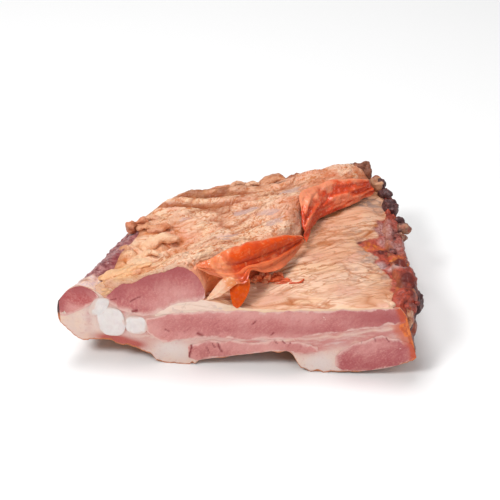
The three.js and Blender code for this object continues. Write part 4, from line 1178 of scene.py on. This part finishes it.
# a dark band of painted shadow on the purple strip beside the flap's left edge, which overhangs it; next,
# dark patches at the left end
shadowAndDark = upward * ease(ringX + 3 * grain(rings, 6, 3, 76), -110, -104) * ease(depth, 0.1, 0.2)
darkEnd = ease(ringX + 3 * grain(rings, 4, 3, 77), -120, -124) * ease(grain(rings, 6, 3, 78), -0.2, 0.3)
greyed = strip * ease(depth + 0.05 * grain(rings, 6, 3, 79), 0.1, 0.03)
charred = toRight * ease(grain(rings, 12, 3, 60), -0.35, 0.5) * (1 - 0.7 * upward)
crevice = np.clip(creviced(crag, fineCrag) * (toRight + onLeft) * ease(depth, 0.02, 0.1), 0, 1)
lowEdge = toRight * (1 - 0.5 * upward * ease(ringX, 98, 105)) * ease(ringZ, 44, 34)
backCrust = ease(np.tile(halfX[1:-1], body["rungs"] - 1) + 14 * grain(back, 16, 3, 74), 62, 98)
backCharred = backCrust * ease(grain(back, 12, 3, 60), -0.35, 0.5)
backCrevice = np.clip(creviced(backCrag, backFine), 0, 1) * ease(toBorder, 0, 6)
marks = {kind: upward * values for kind, values in marksOnCrust(ringX, depth, rings).items()}
onCut = {kind: spotMask(spots, face) for kind, spots in tints.items()}
offSeam = face[:, 2] - seam(face[:, 0]) + 0.8 * grain(face, 6, 3, 66)
onCut["pink"] = onCut["pink"] * (1 - 0.75 * bell(offSeam, 0, 0.9))
leftChar = ease(face[:, 0] + 1.5 * grain(face, 3, 2), -120.5, -123) * ease(face[:, 2], 33, 37)
masks = {
    **{kind: (0, values) for kind, values in onCut.items()}, **{kind: (marks[kind],) for kind in marks},
    "onCut": (0, 1.0), "toUnderside": (0, toUnderside), "fire": (0, endRim(face, 2.6)),
    "glow": (0, 0.8 * endRim(face, 9.0)), "leftChar": (0, leftChar), "tan": (0, 0, lumpTan),
    "char": (charred, 0, lumpChar, backCharred), "amber": (marks["amber"], 0, lumpAmber),
    "purple": (purple,), "greyed": (greyed,), "shadowAndDark": (0.6 * largest(shadowAndDark, darkEnd),),
    "crust": (toRight, 0, 1, backCrust), "crevice": (crevice, 0, 0, backCrevice),
    "lowEdge": (lowEdge, 0, 0, backCrust),
}
makePiece("inner_fat", "fat", bodyFinish(), points, faces,
          {mask: bodyMask(*values) for mask, values in masks.items()})

# dried membrane: sheets through three guide lines, from the flap's crest to a free hem
# guide points are (x at the cut, depth share, z); "grid" is rows and columns
membranes = {
    "membrane_front": {
        "crest": [(-34.5, 0.006, 77.4), (-21, 0.115, 78.4), (-8.5, 0.235, 75.5), (7, 0.325, 71.5),
                  (24, 0.415, 63.5)],
        "belly": [(-33.5, 0.006, 76.6), (-22.5, 0.034, 75.4), (-10.5, 0.105, 70.8), (6.5, 0.245, 66.8),
                  (25.8, 0.425, 60.5)],
        "hem": [(-34, 0.004, 75.8), (-28.4, 0.008, 71.6), (-20, 0.014, 67.8), (-10.5, 0.016, 65),
                (-3.6, 0.026, 65), (-2.5, 0.1, 67), (5.2, 0.14, 61.4), (15, 0.2, 59), (21.5, 0.32, 56.4),
                (27.8, 0.448, 55)],
        "grid": (180, 110), "thickness": 0.8, "tube": 3.4, "ridges": 0.55, "ripple": 0.35, "coat": 0.4,
        "folds": 1.1, "foldsFrom": 0.52, "foldCount": 9, "foldRun": 2.6, "paleTo": 0.12, "slot": "membrane",
        "vivid": (0.78, 0.082, 0.005), "deep": (0.48, 0.04, 0.01), "pale": (0.84, 0.27, 0.115),
    },
    "membrane_back": {
        "crest": [(21.5, 0.585, 68), (19, 0.65, 72.5), (36, 0.745, 71.5), (56, 0.8, 70), (82, 0.845, 66)],
        "belly": [(25.5, 0.52, 61.5), (32.5, 0.64, 64), (46, 0.72, 63), (65, 0.785, 61.5), (87, 0.85, 60)],
        "hem": [(28.4, 0.455, 54.2), (35.5, 0.63, 53.2), (50, 0.705, 53.2), (69, 0.785, 53.2),
                (91, 0.865, 53)],
        "grid": (160, 90), "thickness": 0.8, "tube": 0.0, "ridges": 0.0, "ripple": 0.7, "coat": 0.4,
        "folds": 1.4, "foldsFrom": 0.12, "foldCount": 5, "foldRun": 4, "paleTo": 0.34, "slot": "membrane",
        "vivid": (0.8, 0.11, 0.032), "deep": (0.6, 0.055, 0.016), "pale": (0.88, 0.32, 0.175),
    },
    "membrane_tongue": {
        "crest": [(-15.0, 0.05, 65.5), (-9.5, 0.052, 66), (-3.6, 0.06, 66)],
        "belly": [(-14.2, 0.022, 58.6), (-8.4, 0.02, 59.6), (-1.8, 0.028, 59.2)],
        "hem": [(-11.2, -0.002, 49.4), (-8.6, -0.004, 47.8), (-6.4, -0.002, 49.4)],
        "grid": (60, 70), "thickness": 0.6, "tube": 0.0, "ridges": 0.0, "ripple": 0.5, "coat": 0.1,
        "folds": 0.0, "foldsFrom": 0.0, "foldCount": 3.0, "foldRun": 3.0, "slot": "membrane",
        "vivid": (0.7, 0.085, 0.001), "deep": (0.56, 0.045, 0.001), "pale": (0.8, 0.2, 0.03),
    },
    "membrane_curl": {
        "crest": [(-28.4, 0.005, 52.6), (-23.6, 0.01, 60), (-16.6, 0.018, 69.2), (-9.6, 0.03, 67)],
        "belly": [(-28.2, 0.002, 52.3), (-20.6, 0.002, 57.8), (-14.4, 0.006, 64), (-9.4, 0.022, 65.4)],
        "hem": [(-28.0, 0.004, 52.0), (-19.6, 0.01, 55.6), (-13.4, 0.014, 60.4), (-9.6, 0.024, 63.8)],
        "grid": (50, 40), "thickness": 0.7, "tube": 0.0, "ridges": 0.0, "ripple": 0.3, "coat": 0.3,
        "folds": 0.3, "foldsFrom": 0.0, "foldCount": 3.0, "foldRun": 2.0, "slot": "pale_membrane",
        "vivid": (0.93, 0.58, 0.4), "deep": (0.85, 0.24, 0.05), "pale": (0.96, 0.74, 0.58),
    },
}
# the twisted edge where the back sheet meets the front one
rolledEdge = {"half": 1.3, "twist": 7.0, "mesh": (50, 18), "deep": 0.9}


# ridges across a sheet, by x plus z
def ridged(points):
    return grain((points[..., 0] + points[..., 2])[..., None] * (1, 0, 0), 2.6, 2, 81)


# parabola across the sheet through its crest, belly and hem, with a tube between crest and belly,
# uneven folds that run along it below and a ripple; the wave is 1 on a fold and -1 between folds
def membraneGrid(sheet):
    rows, columns = sheet["grid"]
    p, q = np.meshgrid(np.linspace(0, 1, rows), np.linspace(0, 1, columns), indexing="ij")
    crest, belly, hem = (curve(guided(sheet[line]), p[:, :1]) for line in ("crest", "belly", "hem"))
    k = q[..., None]
    crest = crest + (belly - crest) * (0.14 * grain(crest, 15, 2, 90))[..., None]
    points = crest * (1 - k) * (1 - 2 * k) + belly * 4 * k * (1 - k) + hem * k * (2 * k - 1)
    run = xyz(sheet["foldRun"] * (p + 0.25 * q), sheet["foldCount"] * q, 0)
    wave = np.clip(2.6 * grain(run, 1, 2, 5), -1, 1)
    folded = ease(q, sheet["foldsFrom"], sheet["foldsFrom"] + 0.15)
    swells = np.sqrt(ease(p, 0.26, 0.5)) * (1 - 0.5 * ease(p, 0.8, 1))
    tube = np.sin(pi * np.clip(2 * q, 0, 1)) ** 0.7 * swells
    flatPart = ease(tube, 0.8, 0.3) * ease(p, 0.5, 0.3)
    ripple = (grain(points, 6, 3, 3) + 0.5 * grain(points, 2.2, 2, 9)) * ease(q, 0, 0.15)
    lift = 0.7 * sheet["folds"] * wave * folded + sheet["tube"] * tube + sheet["ripple"] * ripple
    lift = lift + sheet["ridges"] * ridged(points) * flatPart * ease(q, 0.05, 0.25)
    return points + gridNormals(points) * lift[..., None], p, q, wave, folded, tube, flatPart


# vivid with deep clouds, pale streaks that the bump follows as painted highlights, and flecks
def filmFinish(name, sheet):
    f = Finish(name, sheet, 0.3, gloss=0.2, subsurface=0.12, radius=(1.0, 0.25, 0.08), coat=sheet["coat"],
               coatRoughness=0.12)
    streak = f.noise(3.2, 4, 0.65, (3.5, 1.5, 1), 50)
    colour = f.layers(
        "vivid", ("deep", f.noise(12, 4, 0.6), 0.4, 0.68, 0.6), ("deep", "deep"),
        ("pale", streak, 0.54, 0.7, 0.45), ("pale", "pale"), ("pale", f.noise(2.4, 1), 0.64, 0.72, 0.5))
    return f.finish(colour, f.plus(streak, f.noise(1.5, 3)), 0.0005, 0.4)


for node, sheet in membranes.items():
    grid, p, q, wave, folded, tube, flatPart = membraneGrid(sheet)
    inset = 8 * np.minimum(np.minimum(p, 1 - p), np.minimum(q, 1 - q))
    points, faces = thinSheet(grid, sheet["thickness"] * (0.6 + 0.4 * ease(inset, 0, 0.5)))
    strength = min(sheet["folds"], 1.0) * folded
    # on the folds: pale on their crests as painted highlight, deep between them as painted shade
    deep, pale = 0.8 * strength * ease(wave, 0.3, -0.8), 0.45 * strength * ease(wave, 0.3, 1.0)
    spots = grain(grid, 7, 3, 80)
    if "paleTo" in sheet:
        pale = np.maximum(pale, 0.85 * ease(q + sheet["paleTo"] * spots, sheet["paleTo"], 0.02))
    if node == "membrane_tongue":
        pale = 0.7 * ease(q + 0.15 * grain(grid * (1, 1, 0.3), 3, 2, 5), 0.4, 0.1)
    if node == "membrane_curl":
        deep = 0.85 * ease(p - 0.3 * q + 0.25 * spots, 0.4, 0.75)
    if node == "membrane_front":
        # paler on the flat left part, palest on its ridges' crests as painted highlight
        pale = np.maximum(pale, flatPart * blend(0.5, 0.95, ease(ridged(grid), -0.4, 0.4)))
        pale = pale * (1 - 0.8 * ease(tube, 0.4, 0.8))
        pale = np.maximum(pale, 0.5 * ease(q + 0.2 * spots, 0.62, 0.85) * ease(p, 0.45, 0.6))
        # deep in the crease along the foot of the tube: painted shade
        deep = np.maximum(deep * ease(tube, 0.5, 0.2), 0.9 * bell(q, 0.5, 0.06) * ease(p, 0.3, 0.42))
    deep, pale = np.tile(deep.ravel(), 2), np.tile(pale.ravel(), 2)
    if node == "membrane_back":
        path = grid[1, np.linspace(2, 0.7 * grid.shape[1], 4).astype(int)]
        half = rolledEdge["half"]
        roll = strand(path, half, half, rolledEdge["mesh"], 0.35, 4, 12, rolledEdge["twist"])
        points, faces = together([(points, faces), roll])
        deep = np.r_[deep, np.full(len(roll[0]), rolledEdge["deep"])]
        pale = np.r_[pale, np.zeros(len(roll[0]))]
    finish = filmFinish(node + "Finish", sheet)
    makePiece(node, sheet["slot"], finish, points, faces, {"deep": deep, "pale": pale})

# dried scrap on the slab, in twisted strands: guide points (x, depth share, height over the slab), half
# width, half height, roughness and how far each is pale and dark; "bits" are balls (x, depth share, size)
scrap = {
    "strands": [
        ([(-8, 0.198, 0.8), (-2, 0.19, 2.2), (3, 0.188, 2.6), (8, 0.192, 1.6)], 5.0, 2.2, 1.0, (0.75, 0)),
        ([(2, 0.186, 3.6), (5.1, 0.186, 4.4), (8, 0.186, 3.6)], 3.8, 1.5, 0.5, (0.9, 0)),
        ([(6, 0.18, 1.2), (11.4, 0.194, 2.8), (17.7, 0.196, 1.8), (22.7, 0.188, 1)],
         1.9, 1.4, 0.9, (0, 0.1)),
        ([(7, 0.215, 2), (13.2, 0.208, 3.4), (16.8, 0.201, 2.4)], 2.0, 1.5, 0.9, (0.35, 0)),
        ([(8, 0.166, 0.8), (15.5, 0.17, 1.3), (24.3, 0.174, 1.2), (29.1, 0.182, 1.3), (31, 0.197, 2.2)],
         1.1, 0.9, 0.5, (0, 0.7)),
        ([(10, 0.182, 1.4), (17, 0.184, 1.8), (24, 0.179, 1)], 1.3, 1.0, 0.6, (0.1, 0.5)),
    ],
    "bits": [(-2.2, 0.141, 1.1), (-0.2, 0.147, 0.8), (19.1, 0.162, 1.2), (22, 0.156, 1), (15.2, 0.153, 0.7)],
    "mesh": (40, 22), "bitMesh": (12, 16), "red": (0.84, 0.15, 0.042), "dark": (0.46, 0.055, 0.018),
    "pale": (0.82, 0.38, 0.21), "cream": (0.92, 0.64, 0.45),
}


# red mottled with dark, then the strands' own tones
def scrapFinish():
    f = Finish("scrapFinish", scrap, 0.38, coat=0.15, coatRoughness=0.25)
    mottle = f.noise(3.5, 4, 0.6)
    pale = f.layers("pale", ("red", mottle, 0.4, 0.62))
    colour = f.layers(
        "red", ("dark", mottle, 0.42, 0.66, 0.6), ("dark", "dark"), (pale, "pale"), ("cream", "cream"))
    return f.finish(colour, f.noise(1.2, 3), 0.0005, 0.6)


strands = []
for number, (path, wide, tall, rough, _) in enumerate(scrap["strands"]):
    strands.append(strand(guided(path, True), wide, tall, scrap["mesh"], rough, 3, 5 * number, 2))
for number, (x, d, half) in enumerate(scrap["bits"]):
    middle, sizes = (*plan(x, d), slabTop(x, d) + 0.3 * half), (1.5 * half, half, 0.8 * half)
    strands.append(roughBall(middle, sizes, scrap["bitMesh"], 0.5, 2, 4 * number, 0.8))
tones = np.array([(*tones, 0) for *_, tones in scrap["strands"]] + [(0, 0, 1)] * len(scrap["bits"]))
pale, dark, cream = np.repeat(tones, [len(own) for own, _ in strands], axis=0).T
makePiece("scrap", "scrap", scrapFinish(), *together(strands), {"pale": pale, "dark": dark, "cream": cream})

# floor, light and camera
studio = {
    "floor": 4.0, "floorColour": (0.93, 0.93, 0.93), "sky": 0.19,
    "above": {"at": (-0.3, 0.45, 2.0), "size": 1.0, "power": 25.8},
    "key": {"at": (-0.7, -0.8, 1.2), "size": 0.4, "power": 12.2},
    "fill": {"at": (0.8, -0.7, 0.9), "size": 0.8, "power": 4.5},
    "lit": (0, 0, 0.03),  # where the lamps point
    "camera": (62.44, -629.6, 502.53),  # in the millimetres of the shapes
    "looks": (-0.0835, 0.8345, -0.5446), "lens": 88.9, "sensor": 36.0,
}


# adds a lamp or camera that looks along a direction
def aim(name, data, at, direction):
    thing = bpy.data.objects.new(name, data)
    thing.location = at
    thing.rotation_euler = Vector(direction).to_track_quat("-Z", "Y").to_euler()
    bpy.context.collection.objects.link(thing)
    return thing


reach = studio["floor"] / 2
floorMesh = bpy.data.meshes.new("floor")
corners = [(-reach, -reach, 0), (reach, -reach, 0), (reach, reach, 0), (-reach, reach, 0)]
floorMesh.from_pydata(corners, [], [(0, 1, 2, 3)])
floorMesh.materials.append(Finish("floorFinish", {}, 0.9).finish(studio["floorColour"]))
floor = bpy.data.objects.new("floor", floorMesh)
bpy.context.collection.objects.link(floor)

world = bpy.data.worlds.new("studioSky")
world.use_nodes = True
sky = world.node_tree.nodes["Background"]
sky.inputs["Color"].default_value = (1, 1, 1, 1)
sky.inputs["Strength"].default_value = studio["sky"]
bpy.context.scene.world = world

for name in ("above", "key", "fill"):
    lamp = bpy.data.lights.new(name, "AREA")
    lamp.size = studio[name]["size"]
    lamp.energy = studio[name]["power"]
    aim(name, lamp, studio[name]["at"], Vector(studio["lit"]) - Vector(studio[name]["at"]))

camera = bpy.data.cameras.new("camera")
camera.lens = studio["lens"]
camera.sensor_width = studio["sensor"]
camera.clip_start = 0.01
at = (np.array(studio["camera"]) + frameOffset) / 1000
bpy.context.scene.camera = aim("camera", camera, at, studio["looks"])
bpy.context.scene.view_settings.view_transform = "Standard"
print("floor, light and camera are set")
